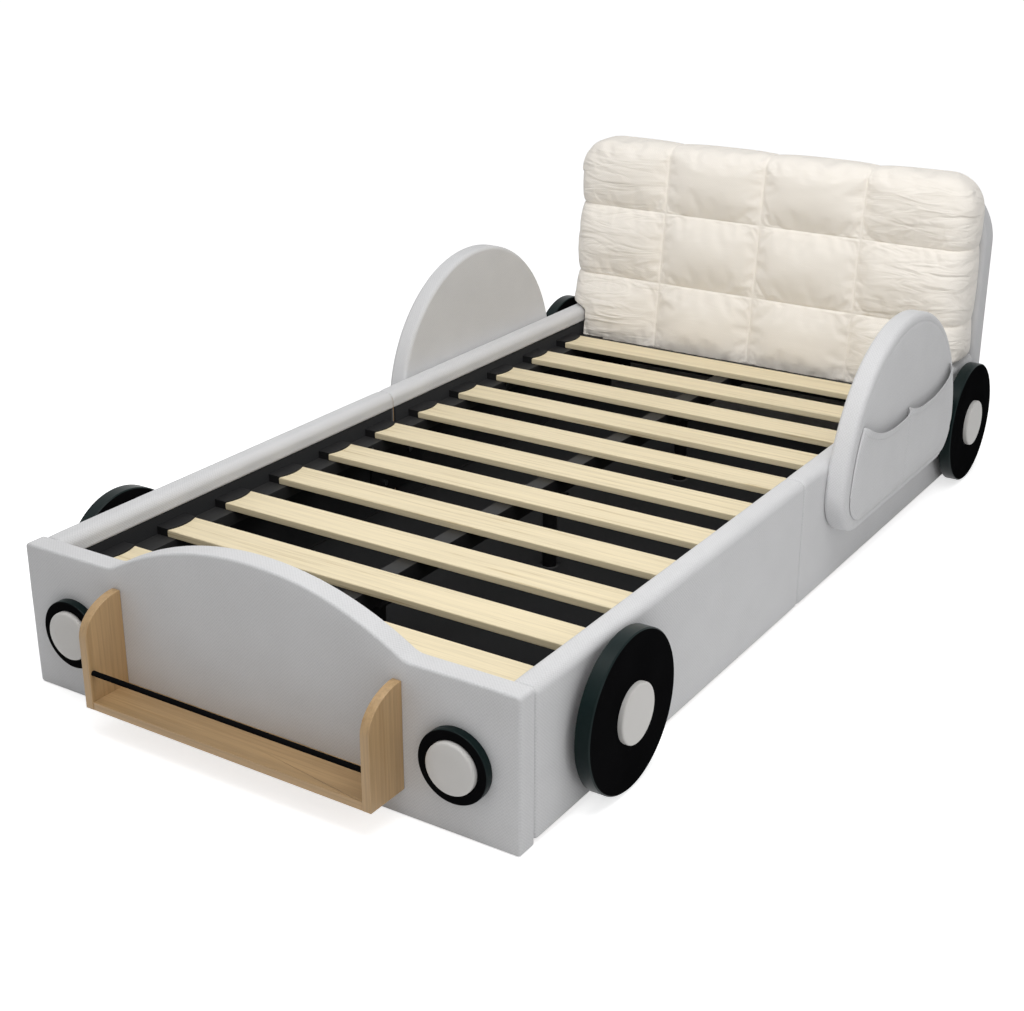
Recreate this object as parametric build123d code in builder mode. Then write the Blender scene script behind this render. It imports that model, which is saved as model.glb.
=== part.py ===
from build123d import *
import os
from math import cos, radians, sin, sqrt, tan

# An upholstered car-shaped storage bed for a twin mattress, in millimetres. The origin is on the floor under
# the middle of the whole bed. +X is the right side of the bed seen from its foot, +Y runs from the footboard
# to the headboard, and +Z is up.

# Mattress and the clear space that holds it
mattress_width = 991.0
mattress_length = 1905.0
mattress_side_gap = 4.5
mattress_end_gap = 25.0

# Side rails: a board core, a padded cloth cover and a thin black lining inside
rail_thickness = 52.0
rail_height = 282.0
rail_floor_gap = 10.0
rail_pad = 9.0
rail_edge_radius = 18.0
rail_core_radius = 12.0
rail_wrap_depth = 36.0
lining_thickness = 2.0
rail_front_length = 1042.0
seam_radius = 2.0
rail_proud = 1.0

# Footboard with its arched hump
footboard_thickness = 46.0
footboard_height = 294.0
footboard_pad = 8.0
footboard_edge_radius = 6.0
hump_width = 658.0
hump_rise = 93.0
hump_foot_radius = 45.0

# Headboard panel
backboard_thickness = 68.0
backboard_height = 725.0
backboard_pad = 20.0
backboard_corner_radius = 158.0
backboard_edge_radius = 16.0

# Headboard cushion, sewn in columns and rows of puffs
cushion_foot_depth = 172.0
cushion_lean = 6.26
cushion_drop = 13.0
cushion_row_low = 185.0
cushion_row_middle = 187.0
cushion_row_high = 144.0
cushion_top_round = 31.0
cushion_columns = 4
cushion_crown = 16.0
cushion_side_round = 60.0
cushion_back_radius = 45.0
cushion_corner_radius = 92.0
cushion_side_draw = 6.0
cushion_top_draw = 4.0

# Slats and what carries them
slat_count = 11
slat_width = 80.0
slat_thickness = 15.0
slat_first_gap = 75.0
slat_last_gap = 14.0
slat_end_gap = 28.0
slat_end_sag = 9.0
slat_edge_radius = 2.0
holder_rise = 2.0
ledger_depth = 74.0
ledger_width = 50.0
ledger_height = 28.0
ledger_joint_gap = 4.0
ledger_bolt_inset = 150.0

# Steel support frame, its legs and their glides
tube_size = 40.0
tube_wall = 2.5
cross_tube_inset = 31.0
frame_plate_thickness = 5.0
frame_plate_drop = 60.0
seat_plate_length = 70.0
seat_plate_thickness = 4.0
leg_count = 3
leg_radius = 16.0
leg_wall = 2.5
leg_plate_size = 60.0
leg_plate_thickness = 4.0
glide_radius = 22.0
glide_height = 9.0
glide_peg_length = 30.0
base_cloth_thickness = 2.0
base_cloth_margin = 20.0
base_cloth_hole_gap = 8.0

# Half-moon side panels with their double pockets
panel_radius = 345.0
panel_thickness = 48.0
panel_pad = 12.0
panel_bottom = 124.0
panel_centre_rise = 73.0
panel_wheel_gap = 3.0
panel_corner_radius = 95.0
panel_face_radius = 18.0
panel_back_radius = 10.0
panel_bolt_spacing = 345.0
pocket_inset = 27.0
pocket_depth = 8.0
pocket_cloth = 2.0
pocket_seam = 3.0
pocket_mouth_end = 169.0
pocket_mouth_middle = 133.0
pocket_mouth_low = 118.0
pocket_mouth_low_from_middle = 120.0

# Wheels and hubs
wheel_radius = 148.0
wheel_thickness = 30.0
wheel_boss_radius = 60.0
wheel_boss_thickness = 18.0
wheel_edge_radius = 4.0
wheel_floor_gap = 4.0
wheel_front_from_foot = 280.0
wheel_rear_from_head = 194.0
hub_radius = 56.0
hub_thickness = 12.0
hub_edge_radius = 4.0
hub_spigot_radius = 13.7
hub_socket_depth = 12.0

# Headlights
light_height = 140.0
light_inset = 5.5
ring_radius = 67.5
ring_thickness = 17.0
ring_floor_thickness = 12.0
lens_radius = 48.0
lens_thickness = 16.0
light_edge_radius = 3.0

# Shelf on the footboard
shelf_width = 648.0
shelf_depth = 92.0
shelf_bottom = 55.0
shelf_height = 205.0
shelf_curve_height = 66.0
shelf_panel = 18.0
shelf_board_thickness = 16.0
rod_radius = 5.0
rod_from_front = 9.0
rod_rise = 72.0
rod_socket_depth = 6.0

# Brackets, joint plates and bolts
bracket_plate = 5.0
bracket_width = 60.0
bracket_height = 110.0
bracket_ledger_gap = 25.0
bracket_bolt_from_corner = 36.0
joint_plate_length = 200.0
bolt_spacing = 55.0
bolt_radius = 4.0
bolt_head_radius = 7.0
bolt_head_height = 5.0
bolt_bite = 20.0
bolt_tip_room = 1.0

# Running clearance around bolts, pegs, rods, lenses and the slat ends
fit_gap = 0.3

# Places along the bed and across it
inner_half = mattress_width / 2 + mattress_side_gap
outer_half = inner_half + rail_thickness
board_half = outer_half - rail_proud
core_inner = inner_half + lining_thickness
core_outer = outer_half - rail_pad
well_length = mattress_length + mattress_end_gap
overall_length = shelf_depth + footboard_thickness + well_length + cushion_foot_depth + backboard_thickness
shelf_front = -overall_length / 2
foot_face = shelf_front + shelf_depth
foot_back = foot_face + footboard_thickness
well_end = foot_back + well_length
head_face = well_end + cushion_foot_depth
rear_face = head_face + backboard_thickness
seam_y = foot_back + rail_front_length
cross_tube_y = (well_end - cross_tube_inset - tube_size / 2, well_end - cross_tube_inset + tube_size / 2)

# Heights
rail_top = rail_floor_gap + rail_height
ledger_top = rail_top - ledger_depth
ledger_bottom = ledger_top - ledger_height
tube_bottom = ledger_top - tube_size
bracket_top = ledger_bottom - bracket_ledger_gap
bracket_middle = bracket_top - bracket_height / 2
wheel_height = wheel_radius + wheel_floor_gap
panel_centre_height = panel_bottom + panel_centre_rise

# Places of the outer pieces: a side panel stands clear of the rear wheel by a named gap
wheel_ys = {"front": foot_face + wheel_front_from_foot, "rear": rear_face - wheel_rear_from_head}
wheel_back = outer_half + wheel_boss_thickness
wheel_face = wheel_back + wheel_thickness
panel_face = outer_half + panel_thickness
corner_height = panel_bottom + panel_corner_radius
corner_reach = panel_corner_radius + wheel_radius + panel_wheel_gap
corner_to_wheel = sqrt(corner_reach**2 - (corner_height - wheel_height) ** 2)
middle_reach = panel_radius - panel_corner_radius
corner_to_middle = sqrt(middle_reach**2 - (corner_height - panel_centre_height) ** 2)
panel_y = wheel_ys["rear"] - corner_to_wheel - corner_to_middle
shelf_half = shelf_width / 2
light_x = (shelf_half + board_half) / 2 - light_inset
ring_floor_y = foot_face - ring_floor_thickness

sides = {"left": -1, "right": 1}
sections = {"front": (foot_back, seam_y), "rear": (seam_y, head_face)}
ledger_spans = ((foot_back, seam_y - ledger_joint_gap / 2), (seam_y + ledger_joint_gap / 2, cross_tube_y[0]))
bolt_steps = (-bolt_spacing / 2, bolt_spacing / 2)
low_align = (Align.CENTER, Align.CENTER, Align.MIN)
high_align = (Align.CENTER, Align.CENTER, Align.MAX)


def keep(builder, name):
    """Label a finished piece and write it under its own name."""
    builder.part.label = name
    export_step(builder.part, f"parts/{name}.step")


def block(x_range, y_range, z_range, mode=Mode.ADD):
    """A box between pairs of limits along X, Y and Z."""
    spans = (x_range, y_range, z_range)
    with Locations(tuple(sum(span) / 2 for span in spans)):
        Box(*(abs(span[1] - span[0]) for span in spans), mode=mode)


def outward(side, x, y, z):
    """A place at distance x from the middle, with local +Z pointing away from the bed."""
    return Location((side * x, y, z), (0, side * 90, 0))


def inward(side, x, y, z):
    """A place at distance x from the middle, with local +Z pointing into the bed."""
    return Location((side * x, y, z), (0, -side * 90, 0))


def footward(x, y, z):
    """A place with local +Z pointing to the foot of the bed."""
    return Location((x, y, z), (90, 0, 0))


def headward(x, y, z):
    """A place with local +Z pointing to the head of the bed."""
    return Location((x, y, z), (-90, 0, 0))


# Bolt places: each is the seat under a bolt head, with the shank along local +Z
wheel_places = [
    inward(side, wheel_face - hub_socket_depth, y, wheel_height)
    for side in sides.values()
    for y in wheel_ys.values()
]
panel_seat = panel_face - panel_pad - bolt_head_height
panel_places = [
    inward(side, panel_seat, panel_y + step, panel_centre_height)
    for side in sides.values()
    for step in (-panel_bolt_spacing / 2, panel_bolt_spacing / 2)
]
ledger_seat = inner_half - ledger_width + bolt_head_height
ledger_places = [
    outward(side, ledger_seat, y, (ledger_bottom + ledger_top) / 2)
    for side in sides.values()
    for low, high in ledger_spans
    for y in (low + ledger_bolt_inset, (low + high) / 2, high - ledger_bolt_inset)
]
shelf_places = [
    footward(side * (shelf_half - shelf_panel / 2), foot_back, shelf_bottom + shelf_height / 2 + step)
    for side in sides.values()
    for step in bolt_steps
]
bracket_side_places = [
    outward(side, inner_half - bracket_plate, y, bracket_middle + step)
    for side in sides.values()
    for y in (foot_back + bracket_bolt_from_corner, head_face - bracket_bolt_from_corner)
    for step in bolt_steps
]
bracket_bolt_x = inner_half - bracket_bolt_from_corner
bracket_foot_places = [
    footward(side * bracket_bolt_x, foot_back + bracket_plate, bracket_middle + step)
    for side in sides.values()
    for step in bolt_steps
]
bracket_head_places = [
    headward(side * bracket_bolt_x, head_face - bracket_plate, bracket_middle + step)
    for side in sides.values()
    for step in bolt_steps
]
joint_places = [
    outward(side, inner_half - bracket_plate, seam_y + along * joint_plate_length, bracket_middle + step)
    for side in sides.values()
    for along in (-1 / 4, 1 / 4)
    for step in bolt_steps
]
frame_bolt_z = tube_bottom - frame_plate_drop / 2
frame_foot_places = [footward(0, foot_back + frame_plate_thickness, frame_bolt_z)]
frame_side_places = [
    outward(side, inner_half - frame_plate_thickness, sum(cross_tube_y) / 2, frame_bolt_z)
    for side in sides.values()
]
light_places = [
    headward(side * light_x, ring_floor_y + bolt_head_height, light_height) for side in sides.values()
]

# Each group of bolts, with the length of shank that takes it through its plates and into the core behind
side_bite = lining_thickness + bolt_bite
bolt_groups = {
    "wheel": (wheel_places, wheel_face - hub_socket_depth - core_outer + bolt_bite),
    "panel": (panel_places, panel_seat - core_outer + bolt_bite),
    "ledger": (ledger_places, inner_half - ledger_seat + side_bite),
    "shelf": (shelf_places, footboard_thickness + bolt_bite),
    "bracket_side": (bracket_side_places, bracket_plate + side_bite),
    "bracket_foot": (bracket_foot_places, bracket_plate + footboard_pad + bolt_bite),
    "bracket_head": (bracket_head_places, bracket_plate + backboard_pad + bolt_bite),
    "joint": (joint_places, bracket_plate + side_bite),
    "frame_foot": (frame_foot_places, frame_plate_thickness + footboard_pad + bolt_bite),
    "frame_side": (frame_side_places, frame_plate_thickness + side_bite),
    "light": (light_places, ring_floor_thickness - bolt_head_height + footboard_pad + bolt_bite),
}
rail_bolts = ("wheel", "panel", "ledger", "bracket_side", "joint", "frame_side")
footboard_bolts = ("shelf", "bracket_foot", "frame_foot", "light")


def bolt_holes(*names):
    """Clearance holes for the named groups of bolts."""
    for name in names:
        places, length = bolt_groups[name]
        with Locations(*places):
            Cylinder(bolt_radius + fit_gap, length + bolt_tip_room, align=low_align, mode=Mode.SUBTRACT)


def head_recesses(name, radius, depth):
    """Round recesses over the seats of a group of bolts."""
    with Locations(*bolt_groups[name][0]):
        Cylinder(radius, depth, align=high_align, mode=Mode.SUBTRACT)


os.makedirs("parts", exist_ok=True)


# Footboard
def footboard_slab(inset, mode=Mode.ADD):
    """The footboard drawn in by inset on its faces and its upper outline, and level with the floor."""
    half = board_half - inset
    top = footboard_height - inset
    hump_half = hump_width / 2 - inset / 2
    with BuildSketch(Plane.XZ.offset(-foot_face - inset)) as front:
        with BuildLine() as outline:
            Polyline((-hump_half, top), (-half, top), (-half, 0), (half, 0), (half, top), (hump_half, top))
            ThreePointArc((hump_half, top), (0, top + hump_rise), (-hump_half, top))
        make_face(outline.edges())
        fillet(vertices().sort_by(lambda v: abs(v.X))[:2], radius=hump_foot_radius)
    extrude(front.sketch, amount=2 * inset - footboard_thickness, mode=mode)


with BuildPart() as footboard_core:
    footboard_slab(footboard_pad)
    bolt_holes(*footboard_bolts)
keep(footboard_core, "footboard_core")

with BuildPart() as footboard_cover:
    footboard_slab(0)
    rims = edges().group_by(Axis.Y)
    fillet(rims[0].sort_by(Axis.Z)[1:] + rims[-1].sort_by(Axis.Z)[1:], radius=footboard_edge_radius)
    footboard_slab(footboard_pad, mode=Mode.SUBTRACT)
    bolt_holes(*footboard_bolts)
keep(footboard_cover, "footboard_cover")


# Side rails
def rail_bar(side, y_range, edge_radius, x_range, z_range, mode=Mode.ADD):
    """A bar between limits along the bed, across it and in height, with round upper edges."""
    with BuildSketch(Plane.XZ.offset(-y_range[0])) as section:
        with Locations((side * sum(x_range) / 2, sum(z_range) / 2)):
            Rectangle(x_range[1] - x_range[0], z_range[1] - z_range[0])
        fillet(vertices().group_by(Axis.Y)[-1], radius=edge_radius)
    extrude(section.sketch, amount=y_range[0] - y_range[1], mode=mode)


cover_limits = ((inner_half, outer_half), (rail_floor_gap, rail_top))
core_limits = ((core_inner, core_outer), (rail_floor_gap, rail_top - rail_pad))
lining_heights = (rail_floor_gap, rail_top - rail_wrap_depth)

for section_name, section_ys in sections.items():
    for side_name, side in sides.items():
        with BuildPart() as rail_core:
            rail_bar(side, section_ys, rail_core_radius, *core_limits)
            bolt_holes(*rail_bolts)
        keep(rail_core, f"rail_{section_name}_{side_name}_core")

        with BuildPart() as rail_cover:
            rail_bar(side, section_ys, rail_edge_radius, *cover_limits)
            seam_face = faces().filter_by(Axis.Y).sort_by(Axis.Y)[-1 if section_name == "front" else 0]
            fillet(seam_face.edges().sort_by(Axis.Z)[1:], radius=seam_radius)
            rail_bar(side, section_ys, rail_core_radius, *core_limits, mode=Mode.SUBTRACT)
            block((side * inner_half, side * core_inner), section_ys, lining_heights, mode=Mode.SUBTRACT)
            bolt_holes(*rail_bolts)
        keep(rail_cover, f"rail_{section_name}_{side_name}_cover")

for side_name, side in sides.items():
    with BuildPart() as rail_lining:
        for low, high in sections.values():
            lining_ys = (low + seam_radius, high - seam_radius)
            block((side * inner_half, side * core_inner), lining_ys, lining_heights)
        bolt_holes(*rail_bolts)
    keep(rail_lining, f"rail_lining_{side_name}")


# Headboard panel
def backboard_slab(inset, mode=Mode.ADD):
    """The headboard panel drawn in by inset on its faces, sides and top, and level with the floor."""
    with BuildSketch(Plane.XZ.offset(-head_face - inset)) as front:
        with Locations((0, (backboard_height - inset) / 2)):
            Rectangle(2 * (board_half - inset), backboard_height - inset)
        fillet(vertices().group_by(Axis.Y)[-1], radius=backboard_corner_radius - inset)
    extrude(front.sketch, amount=2 * inset - backboard_thickness, mode=mode)


with BuildPart() as backboard_core:
    backboard_slab(backboard_pad)
    bolt_holes("bracket_head")
keep(backboard_core, "backboard_core")

with BuildPart() as backboard_cover:
    backboard_slab(0)
    rims = edges().group_by(Axis.Y)
    fillet(rims[0].sort_by(Axis.Z)[1:] + rims[-1].sort_by(Axis.Z)[1:], radius=backboard_edge_radius)
    backboard_slab(backboard_pad, mode=Mode.SUBTRACT)
    bolt_holes("bracket_head")
keep(backboard_cover, "backboard_cover")

# Headboard cushion: crowned columns cut by crowned rows and by a scalloped outline
cushion_bottom = ledger_top - cushion_drop
seam_low = cushion_bottom + cushion_row_low
seam_high = seam_low + cushion_row_middle
shoulder = seam_high + cushion_row_high
cushion_top = shoulder + cushion_top_round
cushion_middle = (cushion_bottom + cushion_top) / 2
column_width = 2 * board_half / cushion_columns
column_seams = [-board_half + i * column_width for i in range(cushion_columns + 1)]
lean = radians(cushion_lean)


def groove_y(z):
    """Where the leaning plane of the sewn seams stands at one height."""
    return well_end + (z - cushion_bottom) * tan(lean)


with BuildPart() as headboard_cushion:
    across_lean = Plane((0, groove_y(cushion_middle), cushion_middle), (1, 0, 0), (0, sin(lean), cos(lean)))
    round_start = board_half - cushion_side_round
    behind = 2 * cushion_foot_depth
    with BuildSketch(across_lean):
        with BuildLine():
            for left, right in zip(column_seams[1:-2], column_seams[2:-1]):
                ThreePointArc((left, 0), ((left + right) / 2, -cushion_crown), (right, 0))
            for side in sides.values():
                seam = side * column_seams[-2]
                start = side * round_start
                edge = side * board_half
                ThreePointArc((seam, 0), ((seam + start) / 2, -cushion_crown), (start, 0))
                RadiusArc((start, 0), (edge, cushion_side_round), -side * cushion_side_round)
                Line((edge, cushion_side_round), (edge, behind))
            Line((-board_half, behind), (board_half, behind))
        make_face()
    extrude(amount=cushion_top, both=True)

    with BuildSketch(Plane.YZ):
        with BuildLine():
            for low, high in ((cushion_bottom, seam_low), (seam_low, seam_high), (seam_high, shoulder)):
                middle = (low + high) / 2
                crown = (groove_y(middle) - cushion_crown * cos(lean), middle + cushion_crown * sin(lean))
                ThreePointArc((groove_y(low), low), crown, (groove_y(high), high))
            crest = ((groove_y(shoulder) + head_face) / 2, cushion_top)
            ThreePointArc((groove_y(shoulder), shoulder), crest, (head_face, shoulder))
            Polyline((head_face, shoulder), (head_face, cushion_bottom), (well_end, cushion_bottom))
        make_face()
    extrude(amount=board_half, both=True, mode=Mode.INTERSECT)

    drawn_half = board_half - cushion_side_draw
    drawn_top = cushion_top - cushion_top_draw
    arc_x = drawn_half - cushion_corner_radius
    arc_z = drawn_top - cushion_corner_radius
    arc_reach = cushion_corner_radius / sqrt(2)
    with BuildSketch(Plane.XZ.offset(-rear_face)):
        with BuildLine():
            for side in sides.values():
                for low, high in ((cushion_bottom, seam_low), (seam_low, seam_high), (seam_high, arc_z)):
                    bulge = (side * board_half, (low + high) / 2)
                    ThreePointArc((side * drawn_half, low), bulge, (side * drawn_half, high))
                elbow = (side * (arc_x + arc_reach), arc_z + arc_reach)
                ThreePointArc((side * drawn_half, arc_z), elbow, (side * arc_x, drawn_top))
            top_marks = [-arc_x, *column_seams[1:-1], arc_x]
            for left, right in zip(top_marks[:-1], top_marks[1:]):
                ThreePointArc((left, drawn_top), ((left + right) / 2, cushion_top), (right, drawn_top))
            Line((-drawn_half, cushion_bottom), (drawn_half, cushion_bottom))
        make_face()
    extrude(amount=2 * (rear_face - well_end), mode=Mode.INTERSECT)

    with BuildSketch():
        with Locations((0, head_face - cushion_foot_depth)):
            Rectangle(2 * board_half, 2 * cushion_foot_depth)
        fillet(vertices().group_by(Axis.Y)[-1], radius=cushion_back_radius)
    extrude(amount=2 * cushion_top, mode=Mode.INTERSECT)

    for side in sides.values():
        rail_xs = (side * (inner_half - fit_gap), side * (outer_half + fit_gap))
        block(rail_xs, (foot_back, rear_face), (0, rail_top + fit_gap), mode=Mode.SUBTRACT)
keep(headboard_cushion, "headboard_cushion")

# Slats with hollow ends, and the holders whose round noses fit them
slat_half = inner_half - slat_end_gap
end_radius = (slat_width**2 / 4 + slat_end_sag**2) / (2 * slat_end_sag)
end_centre = slat_half - slat_end_sag + end_radius
slat_first_y = foot_back + slat_first_gap + slat_width / 2
slat_last_y = cross_tube_y[0] - slat_last_gap - slat_width / 2
slat_pitch = (slat_last_y - slat_first_y) / (slat_count - 1)
slat_ys = [slat_first_y + i * slat_pitch for i in range(slat_count)]

for number, y in enumerate(slat_ys, start=1):
    with BuildPart() as slat:
        with BuildSketch(Plane.XY.offset(ledger_top)):
            with Locations((0, y)):
                Rectangle(2 * slat_half, slat_width)
            with Locations((-end_centre, y), (end_centre, y)):
                Circle(end_radius, mode=Mode.SUBTRACT)
        extrude(amount=slat_thickness)
        fillet(edges().filter_by(Axis.X).group_by(Axis.Z)[-1], radius=slat_edge_radius)
    keep(slat, f"slat_{number:02d}")

with BuildPart() as slat_holders:
    for side in sides.values():
        for y in slat_ys:
            with BuildSketch(Plane.XY.offset(ledger_top)):
                with Locations((side * end_centre, y)):
                    Circle(end_radius - fit_gap)
                with Locations((side * (inner_half - slat_width / 2), y)):
                    Rectangle(slat_width, slat_width, mode=Mode.INTERSECT)
            extrude(amount=slat_thickness + holder_rise)
keep(slat_holders, "slat_holders")

for side_name, side in sides.items():
    with BuildPart() as ledger:
        for span in ledger_spans:
            block((side * (inner_half - ledger_width), side * inner_half), span, (ledger_bottom, ledger_top))
        bolt_holes("ledger")
        head_recesses("ledger", bolt_head_radius + fit_gap, bolt_head_height)
    keep(ledger, f"ledger_{side_name}")

# Steel support frame: a long tube, a cross tube, bolted end plates and seats at the corners
plate_zs = (tube_bottom - frame_plate_drop, ledger_top)
bore_half = tube_size / 2 - tube_wall
bore_zs = (tube_bottom + tube_wall, ledger_top - tube_wall)
bore_ys = (cross_tube_y[0] + tube_wall, cross_tube_y[1] - tube_wall)

with BuildPart() as support_frame:
    plate_x = inner_half - frame_plate_thickness
    block((-tube_size / 2, tube_size / 2), (foot_back, cross_tube_y[0]), (tube_bottom, ledger_top))
    block((-inner_half, inner_half), cross_tube_y, (tube_bottom, ledger_top))
    block((-tube_size / 2, tube_size / 2), (foot_back, foot_back + frame_plate_thickness), plate_zs)
    for side in sides.values():
        block((side * plate_x, side * inner_half), cross_tube_y, plate_zs)
        seat_zs = (ledger_top, ledger_top + seat_plate_thickness)
        block((side * (inner_half - seat_plate_length), side * inner_half), cross_tube_y, seat_zs)
    block((-bore_half, bore_half), (foot_back, bore_ys[0]), bore_zs, mode=Mode.SUBTRACT)
    block((-inner_half, inner_half), bore_ys, bore_zs, mode=Mode.SUBTRACT)
    bolt_holes("frame_foot", "frame_side")
keep(support_frame, "support_frame")

# Centre legs, their glides and the closing cloth
leg_pitch = (cross_tube_y[0] - foot_back) / leg_count
leg_ys = [foot_back + (i + 1 / 2) * leg_pitch for i in range(leg_count)]
leg_bore = leg_radius - leg_wall

for number, y in enumerate(leg_ys, start=1):
    with BuildPart() as centre_leg:
        plate_half = leg_plate_size / 2
        plate_ys = (y - plate_half, y + plate_half)
        block((-plate_half, plate_half), plate_ys, (tube_bottom - leg_plate_thickness, tube_bottom))
        with Locations((0, y, glide_height)):
            Cylinder(leg_radius, tube_bottom - glide_height, align=low_align)
            Cylinder(leg_bore, tube_bottom, align=low_align, mode=Mode.SUBTRACT)
    keep(centre_leg, f"centre_leg_{number}")

with BuildPart() as leg_glides:
    with Locations(*[(0, y, 0) for y in leg_ys]):
        Cylinder(glide_radius, glide_height, align=low_align)
        Cylinder(leg_bore - fit_gap, glide_height + glide_peg_length, align=low_align)
keep(leg_glides, "leg_glides")

with BuildPart() as base_cloth:
    cloth_half = outer_half - base_cloth_margin
    cloth_zs = (rail_floor_gap - base_cloth_thickness, rail_floor_gap)
    block((-cloth_half, cloth_half), (foot_back, head_face), cloth_zs)
    with Locations(*[(0, y, 0) for y in leg_ys]):
        Cylinder(glide_radius + base_cloth_hole_gap, 2 * rail_floor_gap, mode=Mode.SUBTRACT)
keep(base_cloth, "base_cloth")


# Half-moon side panels
def moon_slab(side, inset, x_range, mode=Mode.ADD):
    """A slab between two distances from the middle, with the side panel's outline drawn in by inset."""
    with BuildSketch(Plane.YZ.offset(side * x_range[0])) as moon:
        with Locations((panel_y, panel_centre_height)):
            Circle(panel_radius - inset)
        with Locations((panel_y, panel_bottom + inset + panel_radius)):
            Rectangle(2 * panel_radius, 2 * panel_radius, mode=Mode.INTERSECT)
        fillet(vertices().group_by(Axis.Y)[0], radius=panel_corner_radius - inset)
    extrude(moon.sketch, amount=side * (x_range[1] - x_range[0]), mode=mode)


panel_core_face = panel_face - panel_pad
pocket_face = panel_face + pocket_depth
mouth_half = sqrt((panel_radius - pocket_inset) ** 2 - pocket_mouth_end**2)
mouth_end, mouth_low, mouth_middle = (
    panel_centre_height + rise for rise in (pocket_mouth_end, pocket_mouth_low, pocket_mouth_middle)
)
above_mouth = panel_centre_height + panel_radius

for side_name, side in sides.items():
    with BuildPart() as side_panel_core:
        moon_slab(side, panel_pad, (outer_half, panel_core_face))
        bolt_holes("panel")
        head_recesses("panel", bolt_head_radius + fit_gap, bolt_head_height)
    keep(side_panel_core, f"side_panel_{side_name}_core")

    with BuildPart() as side_panel_cover:
        moon_slab(side, 0, (outer_half, panel_face))
        flat_faces = faces().filter_by(Axis.X).sort_by(lambda f: side * f.center().X)
        fillet(flat_faces[-1].edges(), radius=panel_face_radius)
        fillet(flat_faces[0].edges(), radius=panel_back_radius)
        moon_slab(side, panel_pad, (outer_half, panel_core_face), mode=Mode.SUBTRACT)
    keep(side_panel_cover, f"side_panel_{side_name}_cover")

    with BuildPart() as pocket:
        moon_slab(side, pocket_inset, (panel_face, pocket_face + pocket_cloth))
        moon_slab(side, pocket_inset + pocket_seam, (panel_face, pocket_face), mode=Mode.SUBTRACT)
        divider_ys = (panel_y - pocket_seam / 2, panel_y + pocket_seam / 2)
        divider_zs = (panel_bottom + pocket_inset, mouth_middle)
        block((side * panel_face, side * pocket_face), divider_ys, divider_zs)
        with BuildSketch(Plane.YZ.offset(side * panel_face)):
            with BuildLine():
                for along in (-1, 1):
                    low_y = panel_y + along * pocket_mouth_low_from_middle
                    end_y = panel_y + along * mouth_half
                    edge_y = panel_y + along * panel_radius
                    ThreePointArc((panel_y, mouth_middle), (low_y, mouth_low), (end_y, mouth_end))
                    Polyline((end_y, mouth_end), (edge_y, mouth_end), (edge_y, above_mouth))
                Line((panel_y - panel_radius, above_mouth), (panel_y + panel_radius, above_mouth))
            make_face()
        extrude(amount=side * (pocket_depth + pocket_cloth), mode=Mode.SUBTRACT)
    keep(pocket, f"pocket_{side_name}")

# Wheels and hubs
for place, y in wheel_ys.items():
    for side_name, side in sides.items():
        with BuildPart() as wheel:
            with Locations(outward(side, wheel_back, y, wheel_height)):
                Cylinder(wheel_radius, wheel_thickness, align=low_align)
            fillet(edges().filter_by(GeomType.CIRCLE), radius=wheel_edge_radius)
            with Locations(outward(side, outer_half, y, wheel_height)):
                Cylinder(wheel_boss_radius, wheel_boss_thickness, align=low_align)
            bolt_holes("wheel")
            head_recesses("wheel", hub_spigot_radius + fit_gap, hub_socket_depth)
        keep(wheel, f"wheel_{place}_{side_name}")

        with BuildPart() as hub:
            with Locations(outward(side, wheel_face, y, wheel_height)):
                Cylinder(hub_radius, hub_thickness, align=low_align)
            hub_rims = edges().filter_by(GeomType.CIRCLE).sort_by(lambda e: side * e.center().X)
            fillet(hub_rims[-1], radius=hub_edge_radius)
            with Locations(inward(side, wheel_face, y, wheel_height)):
                Cylinder(hub_spigot_radius, hub_socket_depth - bolt_head_height, align=low_align)
        keep(hub, f"hub_{place}_{side_name}")

# Headlights
for side_name, side in sides.items():
    with BuildPart() as headlight_ring:
        with Locations(footward(side * light_x, foot_face, light_height)):
            Cylinder(ring_radius, ring_thickness, align=low_align)
        fillet(edges().filter_by(GeomType.CIRCLE).sort_by(Axis.Y)[0], radius=light_edge_radius)
        with Locations(footward(side * light_x, ring_floor_y, light_height)):
            Cylinder(lens_radius + fit_gap, ring_thickness, align=low_align, mode=Mode.SUBTRACT)
        bolt_holes("light")
        head_recesses("light", bolt_head_radius + fit_gap, bolt_head_height)
    keep(headlight_ring, f"headlight_ring_{side_name}")

    with BuildPart() as headlight_lens:
        with Locations(footward(side * light_x, ring_floor_y, light_height)):
            Cylinder(lens_radius, lens_thickness, align=low_align)
        fillet(edges().filter_by(GeomType.CIRCLE).sort_by(Axis.Y)[0], radius=light_edge_radius)
    keep(headlight_lens, f"headlight_lens_{side_name}")

# Shelf on the footboard
shelf_inner_half = shelf_half - shelf_panel
curve_start = shelf_bottom + shelf_height - shelf_curve_height
rod_y = shelf_front + rod_from_front
rod_height = shelf_bottom + rod_rise

for side_name, side in sides.items():
    with BuildPart() as shelf_side:
        with BuildSketch(Plane.YZ.offset(side * shelf_inner_half)):
            with BuildLine():
                back_top = (foot_face, curve_start + shelf_curve_height)
                back_low, front_low = (foot_face, shelf_bottom), (shelf_front, shelf_bottom)
                Polyline(back_top, back_low, front_low, (shelf_front, curve_start))
                middle = (foot_face, curve_start)
                EllipticalCenterArc(middle, shelf_depth, shelf_curve_height, start_angle=90, arc_size=90)
            make_face()
        extrude(amount=side * shelf_panel)
        with Locations(outward(side, shelf_inner_half, rod_y, rod_height)):
            Cylinder(rod_radius + fit_gap, rod_socket_depth, align=low_align, mode=Mode.SUBTRACT)
        bolt_holes("shelf")
    keep(shelf_side, f"shelf_side_{side_name}")

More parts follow.
